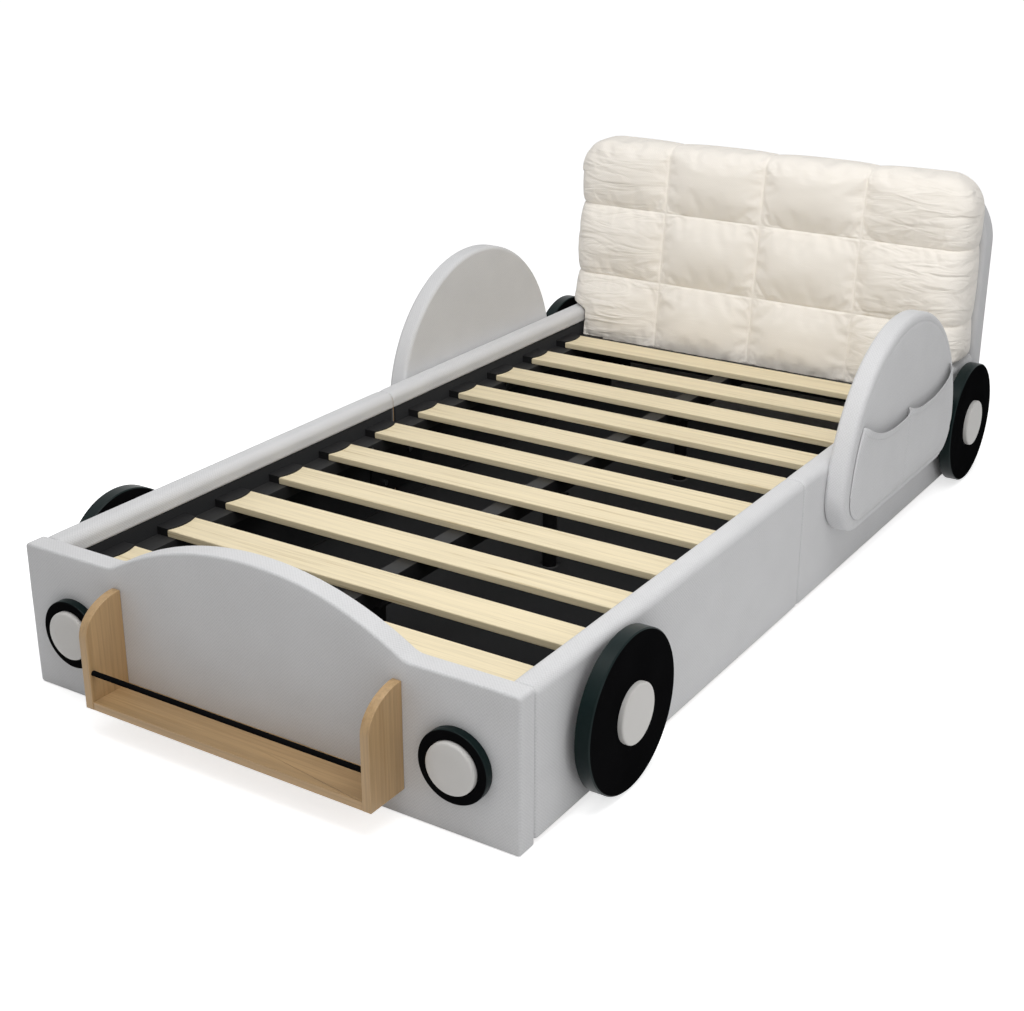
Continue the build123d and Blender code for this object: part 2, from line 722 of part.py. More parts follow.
with BuildPart() as shelf_board:
    board_zs = (shelf_bottom, shelf_bottom + shelf_board_thickness)
    block((-shelf_inner_half, shelf_inner_half), (shelf_front, foot_face), board_zs)
keep(shelf_board, "shelf_board")

with BuildPart() as shelf_rod:
    with Locations(outward(1, 0, rod_y, rod_height)):
        Cylinder(rod_radius, 2 * (shelf_inner_half + rod_socket_depth))
keep(shelf_rod, "shelf_rod")

# Corner brackets, rail joint plates and bolts
bracket_zs = (bracket_top - bracket_height, bracket_top)

with BuildPart() as corner_brackets:
    for side in sides.values():
        side_plate_xs = (side * (inner_half - bracket_plate), side * inner_half)
        board_plate_xs = (side * (inner_half - bracket_width), side * inner_half)
        for corner, along in ((foot_back, 1), (head_face, -1)):
            block(side_plate_xs, (corner, corner + along * bracket_width), bracket_zs)
            block(board_plate_xs, (corner, corner + along * bracket_plate), bracket_zs)
    bolt_holes("bracket_side", "bracket_foot", "bracket_head")
keep(corner_brackets, "corner_brackets")

with BuildPart() as rail_joint_plates:
    joint_ys = (seam_y - joint_plate_length / 2, seam_y + joint_plate_length / 2)
    for side in sides.values():
        block((side * (inner_half - bracket_plate), side * inner_half), joint_ys, bracket_zs)
    bolt_holes("joint")
keep(rail_joint_plates, "rail_joint_plates")

with BuildPart() as bolts:
    for places, length in bolt_groups.values():
        with Locations(*places):
            Cylinder(bolt_radius, length, align=low_align)
            Cylinder(bolt_head_radius, bolt_head_height, align=high_align)
keep(bolts, "bolts")
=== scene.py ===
"""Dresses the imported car-shaped storage bed: padded covers, cushion, pockets, wheels, slats and studio.

Sizes inside the functions are in millimetres and become metres when a mesh is made. +X is the right side of
the bed seen from its foot, +Y runs from the footboard to the headboard, and +Z is up.
"""

import math

import bmesh
import bpy
import numpy as np
from bpy.props import FloatProperty, FloatVectorProperty, IntProperty, PointerProperty
from bpy.types import Operator, Panel, PropertyGroup
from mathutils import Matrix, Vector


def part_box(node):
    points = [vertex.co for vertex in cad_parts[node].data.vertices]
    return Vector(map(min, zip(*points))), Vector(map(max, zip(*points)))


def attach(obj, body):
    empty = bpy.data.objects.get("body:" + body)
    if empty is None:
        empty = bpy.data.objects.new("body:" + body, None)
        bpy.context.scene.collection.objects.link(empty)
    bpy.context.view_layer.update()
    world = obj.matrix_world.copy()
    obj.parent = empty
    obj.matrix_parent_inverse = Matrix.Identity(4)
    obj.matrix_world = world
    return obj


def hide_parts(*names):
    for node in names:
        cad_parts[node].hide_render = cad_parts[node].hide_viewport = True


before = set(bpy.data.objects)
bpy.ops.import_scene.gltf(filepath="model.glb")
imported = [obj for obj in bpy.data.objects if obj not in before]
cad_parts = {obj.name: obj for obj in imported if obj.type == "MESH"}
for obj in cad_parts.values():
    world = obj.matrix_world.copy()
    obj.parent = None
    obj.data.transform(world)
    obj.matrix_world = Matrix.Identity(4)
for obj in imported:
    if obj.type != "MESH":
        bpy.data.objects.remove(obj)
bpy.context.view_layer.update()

bl_info = {
    "name": "Upholstered Storage Bed",
    "version": (1, 0, 0),
    "blender": (4, 5, 0),
    "location": "View3D > Sidebar > Bed",
    "description": "Builds the soft covers, cushion, wheels, shelf and slats of a storage bed around its CAD frame",
    "category": "Add Mesh",
}

MM = 0.001
BODY = "root"
SIDES = {"left": -1, "right": 1}


def middle_mm(node):
    """The middle of a CAD node's box, in millimetres."""
    low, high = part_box(node)
    return [(a + b) / 2 / MM for a, b in zip(low, high)]


def edge_mm(node, axis, end):
    """One limit of a CAD node along an axis, in millimetres: end 0 is the low one and 1 the high one."""
    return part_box(node)[end][axis] / MM


# Places read from the frame
FOOT_FACE = edge_mm("footboard_cover", 1, 0)
FOOT_BACK = edge_mm("footboard_cover", 1, 1)
BOARD_HALF = edge_mm("footboard_cover", 0, 1)
HUMP_TOP = edge_mm("footboard_cover", 2, 1)
OUTER_HALF = edge_mm("rail_front_right_cover", 0, 1)
INNER_HALF = edge_mm("rail_front_right_cover", 0, 0)
RAIL_BOTTOM = edge_mm("rail_front_right_cover", 2, 0)
RAIL_TOP = edge_mm("rail_front_right_cover", 2, 1)
SEAM_Y = edge_mm("rail_front_right_cover", 1, 1)
HEAD_FACE = edge_mm("backboard_cover", 1, 0)
REAR_FACE = edge_mm("backboard_cover", 1, 1)
BACK_TOP = edge_mm("backboard_cover", 2, 1)
CORE_IN = edge_mm("rail_front_right_core", 0, 0)
CORE_OUT = edge_mm("rail_front_right_core", 0, 1)
CORE_TOP = edge_mm("rail_front_right_core", 2, 1)
LINING_TOP = edge_mm("rail_lining_right", 2, 1)
PANEL_FACE = edge_mm("side_panel_right_cover", 0, 1)
PANEL_BOTTOM = edge_mm("side_panel_right_cover", 2, 0)
PANEL_TOP = edge_mm("side_panel_right_cover", 2, 1)
PANEL_Y = middle_mm("side_panel_right_cover")[1]
CUSHION_BOTTOM = edge_mm("headboard_cushion", 2, 0)
CUSHION_TOP = edge_mm("headboard_cushion", 2, 1)
SHELF_FRONT = edge_mm("shelf_side_right", 1, 0)

# Measures of the forms that a box doesn't give
FOOT_TOP = 294.0
HUMP_HALF = 329.0
HUMP_FOOT = 45.0
RAIL_ROUND = 18.0
BACK_CORNER = 158.0
PANEL_RADIUS = 345.0
PANEL_CENTRE = 197.0
PANEL_CORNER = 95.0
POCKET_INSET = 27.0
ROW_SEAMS = (390.0, 577.0)
COLUMN_SEAM = 275.5
CUSHION_CORNER = 92.0
CUSHION_LEAN = math.tan(math.radians(6.26))
BACK_GAP = 0.5
SWELL_STEPS = 20
SWELL_CAP = 12.0


def linear(code):
    """An sRGB hex colour as linear red, green and blue."""
    part = np.array([int(code[i : i + 2], 16) / 255 for i in (1, 3, 5)])
    return tuple(np.where(part <= 0.04045, part / 12.92, ((part + 0.055) / 1.055) ** 2.4).tolist())


def colour_setting(name, description, code):
    """A colour that a user may change, whose default is an sRGB hex value."""
    return FloatVectorProperty(name=name, description=description, subtype="COLOR", default=linear(code))


def length_setting(name, description, default):
    """A length in metres that a user may change."""
    return FloatProperty(name=name, description=description, default=default, unit="LENGTH")


class ClothLook(PropertyGroup):
    """Colours and weave of the bed's cloths."""

    grey: colour_setting("Grey Cloth", "Cover of the boards", "#d3d3d4")
    cream: colour_setting("Cream Cloth", "Cover of the cushion", "#f7f1e8")
    black: colour_setting("Black Cloth", "Lining of the rails", "#17181a")
    thread: length_setting("Thread Spacing", "Distance between drawn threads", 0.0032)


class CoverShape(PropertyGroup):
    """Softness of the padded covers."""

    crown: length_setting("Crown", "How far a padded face swells", 0.004)
    ripple: length_setting("Ripple", "Depth of the soft waves in a cover", 0.0007)
    seam_round: length_setting("Seam Rounding", "Radius of a cover's ends", 0.007)


class CushionShape(PropertyGroup):
    """Puffs and seams of the headboard cushion."""

    crown: length_setting("Puff", "Depth of a puff", 0.016)
    side_draw: length_setting("Side Draw", "How far a row seam draws the sides in", 0.006)
    top_draw: length_setting("Top Draw", "How far a column seam draws the top in", 0.006)
    wrinkle: length_setting("Wrinkle", "Depth of the creases in the cloth", 0.0022)


class WoodLook(PropertyGroup):
    """Colours of the woods."""

    birch: colour_setting("Birch", "Slats", "#eadbb8")
    oak: colour_setting("Oak", "Shelf", "#b6966c")


class WheelLook(PropertyGroup):
    """Wheels, hubs and headlights."""

    chamfer: length_setting("Edge Bevel", "Bevel round a wheel", 0.0022)
    steps: IntProperty(name="Steps", description="Faces round a wheel", default=144, min=24)
    black: colour_setting("Black Lacquer", "Wheels and rings", "#101011")
    light: colour_setting("Light Plastic", "Hubs and lenses", "#cfcdca")


class StudioLook(PropertyGroup):
    """Camera and lights."""

    lens: FloatProperty(name="Lens", description="Focal length", default=58.12, unit="CAMERA")
    yaw: FloatProperty(
        name="Yaw", description="Turn of the camera to the left of the bed's length",
        default=math.radians(32.815), unit="ROTATION"
    )
    pitch: FloatProperty(
        name="Pitch", description="How far the camera looks down", default=math.radians(22.403), unit="ROTATION"
    )
    place: FloatVectorProperty(
        name="Camera Place", description="Where the camera stands", subtype="TRANSLATION",
        default=(1.7535, -2.9498, 1.5383)
    )
    sky: FloatProperty(name="Sky", description="Strength of the even light", default=0.42)
    key: FloatProperty(name="Key Power", description="Power of the lamp over the bed in watts", default=47.0)
    fill: FloatProperty(name="Fill Power", description="Power of the side lamp in watts", default=12.0)


class BedLook(PropertyGroup):
    """All settings of the bed."""

    cloth: PointerProperty(type=ClothLook)
    cover: PointerProperty(type=CoverShape)
    cushion: PointerProperty(type=CushionShape)
    wood: PointerProperty(type=WoodLook)
    wheel: PointerProperty(type=WheelLook)
    studio: PointerProperty(type=StudioLook)


def look():
    """The settings kept on the scene."""
    return bpy.context.scene.bed_look


# Meshes


def line(start, end, count):
    """count points from start towards end, without end: start plus an even share of the difference."""
    share = np.arange(count)[:, None] / count
    return np.array(start) + share * (np.array(end) - np.array(start))


def arc(centre, radius, first, last, count):
    """count points on a circle from angle first towards last in degrees, without last."""
    angle = np.radians(first + (last - first) * np.arange(count) / count)
    return np.array(centre) + radius * np.stack([np.cos(angle), np.sin(angle)], 1)


def outward_normals(loop):
    """Unit normals of a closed counter-clockwise loop: the way from neighbour to neighbour, turned clockwise."""
    along = np.roll(loop, -1, 0) - np.roll(loop, 1, 0)
    across = np.stack([along[:, 1], -along[:, 0]], 1)
    return across / np.linalg.norm(across, axis=1, keepdims=True)


def patch(points, wrap=False, finish=0):
    """A grid of points (rows, columns, 3) as (vertices, quads, finish); wrap joins the last column to the first."""
    rows, columns = points.shape[:2]
    row = np.arange(rows - 1)[:, None]
    column = np.arange(columns if wrap else columns - 1)[None]
    after = (column + 1) % columns
    low, high = row * columns, (row + 1) * columns
    corners = (low + column, low + after, high + after, high + column)
    faces = np.stack(np.broadcast_arrays(*corners), -1).reshape(-1, 4)
    return points.reshape(-1, 3), faces, finish


def volume(vertices, faces):
    """Six times the signed volume under quads: the sum of the triple products of each quad's two triangles."""
    a, b, c, d = (vertices[faces[:, k]] for k in range(4))
    return float((np.cross(b - a, c - a) * a).sum() + (np.cross(c - a, d - a) * a).sum())


def make_piece(name, patches, materials, replaced=(), hollow=(), sharp=None, turn=False):
    """Joins patches into one mesh in metres, merges equal points, and turns faces outward by signed volume.

    hollow patches are closed skins round a cavity, so they face inward. turn lets Blender agree the faces of a
    skin made of several patches.
    """
    vertices, quads, finishes = [], [], []
    count = 0
    for group, wanted in ((patches, 1), (hollow, -1)):
        if not group:
            continue
        start = count
        group_quads = []
        for points, faces, finish in group:
            vertices.append(points)
            group_quads.append(faces + count)
            finishes.append(np.full(len(faces), finish))
            count += len(points)
        joined = np.concatenate(group_quads)
        if volume(np.concatenate(vertices), joined) * wanted < 0:
            joined = joined[:, ::-1]
        quads.append(joined)
    vertices, quads, finishes = np.concatenate(vertices), np.concatenate(quads), np.concatenate(finishes)
    # Points within a fiftieth of a millimetre are one
    near = np.round(vertices / 0.02).astype(np.int64)
    _, first, where = np.unique(near, axis=0, return_index=True, return_inverse=True)
    vertices, quads = vertices[first], where.reshape(-1)[quads]
    same = quads == np.roll(quads, -1, 1)
    crossed = (quads[:, 0] == quads[:, 2]) | (quads[:, 1] == quads[:, 3])
    whole = ~same.any(1) & ~crossed
    thin = (same.sum(1) == 1) & ~crossed
    triangles = quads[thin][~same[thin]].reshape(-1, 3)
    mesh = bpy.data.meshes.new(name)
    mesh.from_pydata((vertices * MM).tolist(), [], quads[whole].tolist() + triangles.tolist())
    mesh.polygons.foreach_set("material_index", np.concatenate([finishes[whole], finishes[thin]]).astype(np.int32))
    mesh.polygons.foreach_set("use_smooth", np.ones(len(mesh.polygons), bool))
    for material in materials:
        mesh.materials.append(material)
    mesh.update()
    if turn:
        agree_faces(mesh)
    if sharp:
        mesh.set_sharp_from_angle(angle=math.radians(sharp))
    add_cloth_map(mesh)
    piece = bpy.data.objects.new(name, mesh)
    bpy.context.scene.collection.objects.link(piece)
    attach(piece, BODY)
    if replaced:
        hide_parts(*replaced)
    return piece


def agree_faces(mesh):
    """Turns the faces of a closed skin outward together."""
    skin = bmesh.new()
    skin.from_mesh(mesh)
    bmesh.ops.recalc_face_normals(skin, faces=skin.faces)
    skin.to_mesh(mesh)
    skin.free()
    mesh.update()


def add_cloth_map(mesh):
    """A UV map in metres: each face is laid flat along the two axes that it faces least."""
    normals = np.empty(len(mesh.polygons) * 3)
    mesh.polygons.foreach_get("normal", normals)
    totals = np.empty(len(mesh.polygons), np.int32)
    mesh.polygons.foreach_get("loop_total", totals)
    corners = np.empty(len(mesh.loops), np.int32)
    mesh.loops.foreach_get("vertex_index", corners)
    places = np.empty(len(mesh.vertices) * 3)
    mesh.vertices.foreach_get("co", places)
    facing = np.repeat(np.abs(normals.reshape(-1, 3)).argmax(1), totals)
    at = places.reshape(-1, 3)[corners]
    flat = at[np.arange(len(at))[:, None], np.array([[1, 2], [0, 2], [0, 1]])[facing]]
    mesh.uv_layers.new(name="cloth").data.foreach_set("uv", flat.ravel())


def thicken(piece, thickness, offset):
    """Gives a single surface a thickness in millimetres; offset -1 puts it behind the surface."""
    wall = piece.modifiers.new("Thickness", "SOLIDIFY")
    wall.thickness = thickness * MM
    wall.offset = offset


def slab(loop, middle, back, face, back_round, face_round, back_form=None, face_form=None, rings=22):
    """A rounded slab as a grid of (across, depth, up): rings run from the middle of the back to its rim, round
    the edge, and back in to the middle of the face.

    A face ring is middle + share * (rim - middle), where rim is the loop drawn in by the edge radius. An edge
    ring at angle t is the loop drawn in by r * (1 - sin t), at depth r * (1 - cos t) inside the face. back_form
    and face_form add a depth worked out from a face point's own place.
    """
    normals = outward_normals(loop)
    share = 1 - (1 - np.linspace(0, 1, rings)) ** 1.5
    turn = np.linspace(0, np.pi / 2, 8)

    def face_rings(depth, radius, form):
        rim = loop - normals * radius
        flat = middle + share[:, None, None] * (rim - middle)
        height = np.full(flat.shape[:2], depth) + (form(flat[..., 0], flat[..., 1]) if form else 0)
        return np.concatenate([flat[..., :1], height[..., None], flat[..., 1:]], -1)

    def edge_rings(depth, radius, form):
        inset = radius * (1 - np.sin(turn[1:]))
        flat = loop - normals * inset[:, None, None]
        drop = radius * (1 - np.cos(turn[1:])) * np.sign(depth - (back + face) / 2)
        rim = loop - normals * radius
        extra = (form(rim[:, 0], rim[:, 1]) if form else 0) * np.cos(turn[1:])[:, None]
        height = np.broadcast_to(depth - drop[:, None] + extra, flat.shape[:2])
        return np.concatenate([flat[..., :1], height[..., None], flat[..., 1:]], -1)

    return np.concatenate([
        face_rings(back, back_round, back_form),
        edge_rings(back, back_round, back_form),
        edge_rings(face, face_round, face_form)[::-1],
        face_rings(face, face_round, face_form)[::-1],
    ])


def facing_foot(grid):
    """Slab coordinates (across, depth, up) as X, -Y and Z: depth grows towards the foot."""
    return np.stack([grid[..., 0], -grid[..., 1], grid[..., 2]], -1)


def facing_side(grid, side):
    """Slab coordinates (along, depth, up) as X, Y and Z of the left or right side: depth grows outward."""
    return np.stack([side * grid[..., 1], grid[..., 0], grid[..., 2]], -1)


def revolve(profile, steps):
    """A profile of (radius, along) carried round an axis: radius times the cosine and sine of the angle."""
    angle = np.linspace(0, 2 * np.pi, steps, endpoint=False)
    radius, along = profile[:, :1], profile[:, 1:]
    shape = (len(profile), steps)
    return np.stack([radius * np.cos(angle), radius * np.sin(angle), np.broadcast_to(along, shape)], -1)


def fade(gaps, reach):
    """1 at a rim and 0 far inside it: 1 less the product, over all gaps to the rim, of 1 - exp(-gap / reach)."""
    inside = 1
    for gap in gaps:
        inside = inside * (1 - np.exp(-np.maximum(gap, 0) / reach))
    return 1 - inside


def waves(first, second, seed, size):
    """Soft waves about one high: the mean of ten sines of random direction, phase and length near size."""
    rng = np.random.default_rng(seed)
    total = 0
    for _ in range(10):
        turn, phase = rng.uniform(0, 2 * np.pi, 2)
        length = size * rng.uniform(0.6, 1.8)
        total = total + np.sin((first * np.cos(turn) + second * np.sin(turn)) * 2 * np.pi / length + phase)
    return total / 4


# Materials


def set_inputs(tree, node, values):
    """Sets a node's inputs by name or number, or links them where the value is a socket."""
    for name, value in values.items():
        if isinstance(value, bpy.types.NodeSocket):
            tree.links.new(value, node.inputs[name])
        else:
            node.inputs[name].default_value = value


def add(tree, kind, values=None, stops=(), **settings):
    """Adds a node with its attributes, its inputs, and the positions and colours of a colour ramp."""
    made = tree.nodes.new(kind)
    for name, value in settings.items():
        setattr(made, name, value)
    if stops:
        elements = made.color_ramp.elements
        elements[0].position, elements[0].color = stops[0]
        elements[1].position, elements[1].color = stops[-1]
        for position, colour in stops[1:-1]:
            elements.new(position).color = colour
    set_inputs(tree, made, values or {})
    return made


def start_material(name, colour):
    """A new material with a Principled surface, and the colour also set for the solid view."""
    material = bpy.data.materials.new(name)
    material.use_nodes = True
    material.diffuse_color = (*colour, 1)
    material.node_tree.nodes.clear()
    tree = material.node_tree
    shader = add(tree, "ShaderNodeBsdfPrincipled")
    add(tree, "ShaderNodeOutputMaterial", {"Surface": shader.outputs[0]})
    return material, tree, shader


def shade(colour, factor):
    """A colour made darker or lighter by a factor, with alpha."""
    return (*(min(1.0, c * factor) for c in colour), 1)


def woven(name, colour, thread_mm, depth, sheen, contrast, crease_mm=0.0):
    """Plain-woven polyester cloth: threads cross as the product of two sines in the cloth's own metres, and a
    noise makes some threads thicker. A pile of fine fibre gives a pale edge at glancing angles."""
    material, tree, shader = start_material(name, colour)
    flat = add(tree, "ShaderNodeUVMap", uv_map="cloth").outputs[0]
    parts = add(tree, "ShaderNodeSeparateXYZ", {0: flat})
    sines = []
    for axis in (0, 1):
        turns = add(
            tree, "ShaderNodeMath", {0: parts.outputs[axis], 1: math.pi / (thread_mm * MM)}, operation="MULTIPLY"
        )
        sines.append(add(tree, "ShaderNodeMath", {0: turns.outputs[0]}, operation="SINE").outputs[0])
    weave = add(tree, "ShaderNodeMath", {0: sines[0], 1: sines[1]}, operation="MULTIPLY").outputs[0]
    # 4 mm slubs and 90 mm patches where the pile lies another way
    slub = add(tree, "ShaderNodeTexNoise", {"Vector": flat, "Scale": 250.0, "Detail": 3.0, "Roughness": 0.65})
    drift = add(tree, "ShaderNodeTexNoise", {"Vector": flat, "Scale": 11.0, "Detail": 2.0})
    mixed = add(
        tree, "ShaderNodeMath", {0: weave, 1: 0.28, 2: slub.outputs["Fac"]}, operation="MULTIPLY_ADD"
    ).outputs[0]
    level = add(tree, "ShaderNodeMath", {0: drift.outputs["Fac"], 1: 0.5, 2: mixed}, operation="MULTIPLY_ADD")
    tint = add(
        tree, "ShaderNodeValToRGB", {"Fac": level.outputs[0]},
        [(0.3, shade(colour, 1 - contrast)), (0.75, shade(colour, 1.0)), (1.0, shade(colour, 1 + contrast / 2))]
    )
    bump = add(tree, "ShaderNodeBump", {"Height": mixed, "Distance": depth * MM, "Strength": 0.55})
    if crease_mm:
        # Creases about 30 mm apart lie along the rows, and deepen outside the outer column seams
        place = add(tree, "ShaderNodeTexCoord").outputs["Object"]
        lay = add(
            tree, "ShaderNodeMapping", {"Vector": place, "Rotation": (0, 0.2, 0), "Scale": (7.0, 12.0, 30.0)}
        )
        creases = add(
            tree, "ShaderNodeTexNoise",
            {"Vector": lay.outputs[0], "Scale": 1.0, "Detail": 2.5, "Roughness": 0.5, "Distortion": 1.4}
        )
        apart = add(tree, "ShaderNodeSeparateXYZ", {0: place})
        out = add(tree, "ShaderNodeMath", {0: apart.outputs[0]}, operation="ABSOLUTE")
        share = add(
            tree, "ShaderNodeMapRange",
            {"Value": out.outputs[0], "From Min": 0.24, "From Max": 0.4, "To Min": 0.06}
        )
        height = add(
            tree, "ShaderNodeMath", {0: creases.outputs["Fac"], 1: share.outputs[0]}, operation="MULTIPLY"
        )
        bump = add(tree, "ShaderNodeBump", {
            "Height": height.outputs[0], "Distance": crease_mm * MM, "Strength": 0.7, "Normal": bump.outputs[0]
        })
    set_inputs(tree, shader, {
        "Base Color": tint.outputs["Color"], "Normal": bump.outputs[0], "Roughness": 0.92,
        "Specular IOR Level": 0.25, "Sheen Weight": sheen, "Sheen Roughness": 0.45
    })
    return material


def planed(name, colour, grain_axis, ring_mm, roughness, contrast=0.14, brown="#a98659"):
    """Planed wood under clear lacquer: rings are a noise stretched along the grain, with fine dark pores."""
    material, tree, shader = start_material(name, colour)
    place = add(tree, "ShaderNodeTexCoord").outputs["Object"]
    grains = []
    # Pores about 0.8 mm wide are drawn 1.6 mm wide so that they show
    for width, run, settings in (
        (ring_mm, ring_mm * 45, {"Detail": 4.0, "Roughness": 0.55, "Distortion": 0.6}), (1.6, 60, {"Detail": 2.0})
    ):
        stretch = [1 / (width * MM)] * 3
        stretch[grain_axis] = 1 / (run * MM)
        along = add(tree, "ShaderNodeMapping", {"Vector": place, "Scale": stretch})
        grain = add(tree, "ShaderNodeTexNoise", {"Vector": along.outputs[0], "Scale": 1.0, **settings})
        grains.append(grain.outputs["Fac"])
    rings, pores = grains
    level = add(tree, "ShaderNodeMath", {0: pores, 1: 0.35, 2: rings}, operation="MULTIPLY_ADD")
    tint = add(tree, "ShaderNodeValToRGB", {"Fac": level.outputs[0]}, [
        (0.42, (*linear(brown), 1)), (0.56, shade(colour, 1 - contrast)), (0.74, shade(colour, 1.0)),
        (0.95, shade(colour, 1 + contrast / 2))
    ])
    bump = add(tree, "ShaderNodeBump", {"Height": pores, "Distance": 0.25 * MM, "Strength": 0.3})
    set_inputs(tree, shader, {
        "Base Color": tint.outputs["Color"], "Normal": bump.outputs[0], "Roughness": roughness
    })
    return material


def sprayed(name, colour, grit_mm, depth, roughness, specular=0.5, metallic=0.0, contrast=0.12):
    """A sprayed, moulded or powder-coated surface: a fine grit of the given size lifts it, and the colour drifts
    slightly over a hand's width."""
    material, tree, shader = start_material(name, colour)
    place = add(tree, "ShaderNodeTexCoord").outputs["Object"]
    grit = add(tree, "ShaderNodeTexNoise", {"Vector": place, "Scale": 1 / (grit_mm * MM), "Detail": 2.0})
    drift = add(tree, "ShaderNodeTexNoise", {"Vector": place, "Scale": 12.0, "Detail": 3.0}).outputs["Fac"]
    tint = add(
        tree, "ShaderNodeValToRGB", {"Fac": drift},
        [(0.3, shade(colour, 1 - contrast)), (0.7, shade(colour, 1 + contrast))]
    )
    gloss = add(
        tree, "ShaderNodeMapRange", {"Value": drift, "To Min": roughness - 0.05, "To Max": roughness + 0.05}
    )
    bump = add(tree, "ShaderNodeBump", {"Height": grit.outputs["Fac"], "Distance": depth * MM, "Strength": 0.4})
    set_inputs(tree, shader, {
        "Base Color": tint.outputs["Color"], "Roughness": gloss.outputs[0], "Normal": bump.outputs[0],
        "Specular IOR Level": specular, "Metallic": metallic
    })
    return material


MATERIALS = {}


def material(kind):
    """A finish of the bed by name, made once."""
    if kind not in MATERIALS:
        MATERIALS[kind] = FINISHES[kind]()
    return MATERIALS[kind]


FINISHES = {
    # Linen-look polyester upholstery cloth, woven and brushed: matt, with a fine grain and a pale edge
    "linen_look": lambda: woven(
        "linen_look_polyester_woven", tuple(look().cloth.grey), look().cloth.thread / MM, 0.5, 0.25, 0.10
    ),
    # Short-pile velvet over wadding, woven and brushed: soft and pale, its pile catches light along the creases
    "cream_velvet": lambda: woven(
        "cream_velvet_woven", tuple(look().cloth.cream), look().cloth.thread / MM, 0.3, 0.35, 0.05, 12.0
    ),
    # Spun-bonded polypropylene lining cloth, pressed from fibre: dull black with a faint dimpled grain
    "spunbond": lambda: woven("black_spunbond_lining", tuple(look().cloth.black), 3.0, 0.3, 0.15, 0.25),
    # Medium-density fibreboard, sawn: even brown with a mealy grain
    "fibreboard": lambda: sprayed("fibreboard_sawn", linear("#a5845c"), 1.2, 0.2, 0.85),
    # Birch plywood, planed and left pale: long faint rings and fine pores, a low sheen
    "birch": lambda: planed("birch_planed", tuple(look().wood.birch), 0, 9.0, 0.5, 0.10, "#c9b284"),
    # Birch or pine stained black, sawn: flat black with grain only in its gloss
    "stained_wood": lambda: planed("stained_black_wood", linear("#191919"), 1, 6.0, 0.62, 0.3, "#0d0d0d"),
    # Oak veneer board, sanded and lacquered: honey brown with upright grain
    "oak_upright": lambda: planed("oak_veneer_upright", tuple(look().wood.oak), 2, 7.0, 0.42, 0.14),
    "oak_across": lambda: planed("oak_veneer_across", tuple(look().wood.oak), 0, 7.0, 0.42, 0.14),
    # Fibreboard disc sprayed with satin black lacquer: smooth, dark and nearly without gloss
    "satin_lacquer": lambda: sprayed("satin_black_lacquer", tuple(look().wheel.black), 2.0, 0.02, 0.45, 0.0),
    # Rim band of a black disc and of a headlight lip, sprayed: its teal-black colour is a painted teal reflection,
    # a cool tint on the rim of a black disc, and it has a little more gloss than the face
    "painted_reflection_rim": lambda: sprayed("black_rim_painted_teal_reflection", linear("#0d1b1b"), 2.0, 0.02, 0.34, 0.12),
    # ABS, moulded in light grey with a fine spark-eroded grain: half matt
    "light_abs": lambda: sprayed(
        "light_grey_abs_moulded", tuple(look().wheel.light), 0.9, 0.03, 0.5, 0.3, 0.0, 0.02
    ),
    # Polypropylene, moulded in matt black: soft dark grey lights
    "matt_black": lambda: sprayed("matt_black_polypropylene", linear("#141415"), 0.9, 0.05, 0.6, 0.3),
    # Steel tube, powder-coated black: an even orange-peel grain
    "powder_coat": lambda: sprayed("black_powder_coated_steel", linear("#161617"), 1.5, 0.08, 0.5, 0.3),
    # Steel bolts, zinc-plated: bright grey metal
    "zinc": lambda: sprayed("zinc_plated_steel", linear("#8d9093"), 0.8, 0.02, 0.35, 0.5, 1.0),
}


# Pieces


def padded_cover(name, outer, inner, node):
    """A grey cloth cover of a board: a closed outer skin, and an inner skin where it lies on the board."""
    piece = make_piece(
        name, [patch(outer, True)], [material("linen_look")], [node],
        () if inner is None else [patch(inner, True)]
    )


def cloth_sheet(name, patches, finish, slot, node, towards, wall, offset=-1, turn=False, **cut):
    """A sheet of cloth that faces one way, with its thickness in millimetres. The size it was cut to is not used.
    """
    piece = make_piece(name, patches, [material(finish)], [node], turn=turn)
    face_sheet(piece, towards)
    thicken(piece, wall, offset)


def rounded_outline(*corners):
    """A closed outline through rounded corners, counter-clockwise from the lower right one. Each is the middle
    of its arc (across, up), its radius, and how many points its quarter arc and the straight side after it get."""
    parts = []
    for number, (centre, radius, in_arc, in_side) in enumerate(corners):
        parts.append(arc(centre, radius, 90 * number - 90, 90 * number, in_arc))
        after, after_radius = corners[(number + 1) % len(corners)][:2]
        out = np.array([(1, 0), (0, 1), (-1, 0), (0, -1)][number])
        parts.append(line(np.array(centre) + radius * out, np.array(after) + after_radius * out, in_side))
    return np.concatenate(parts)


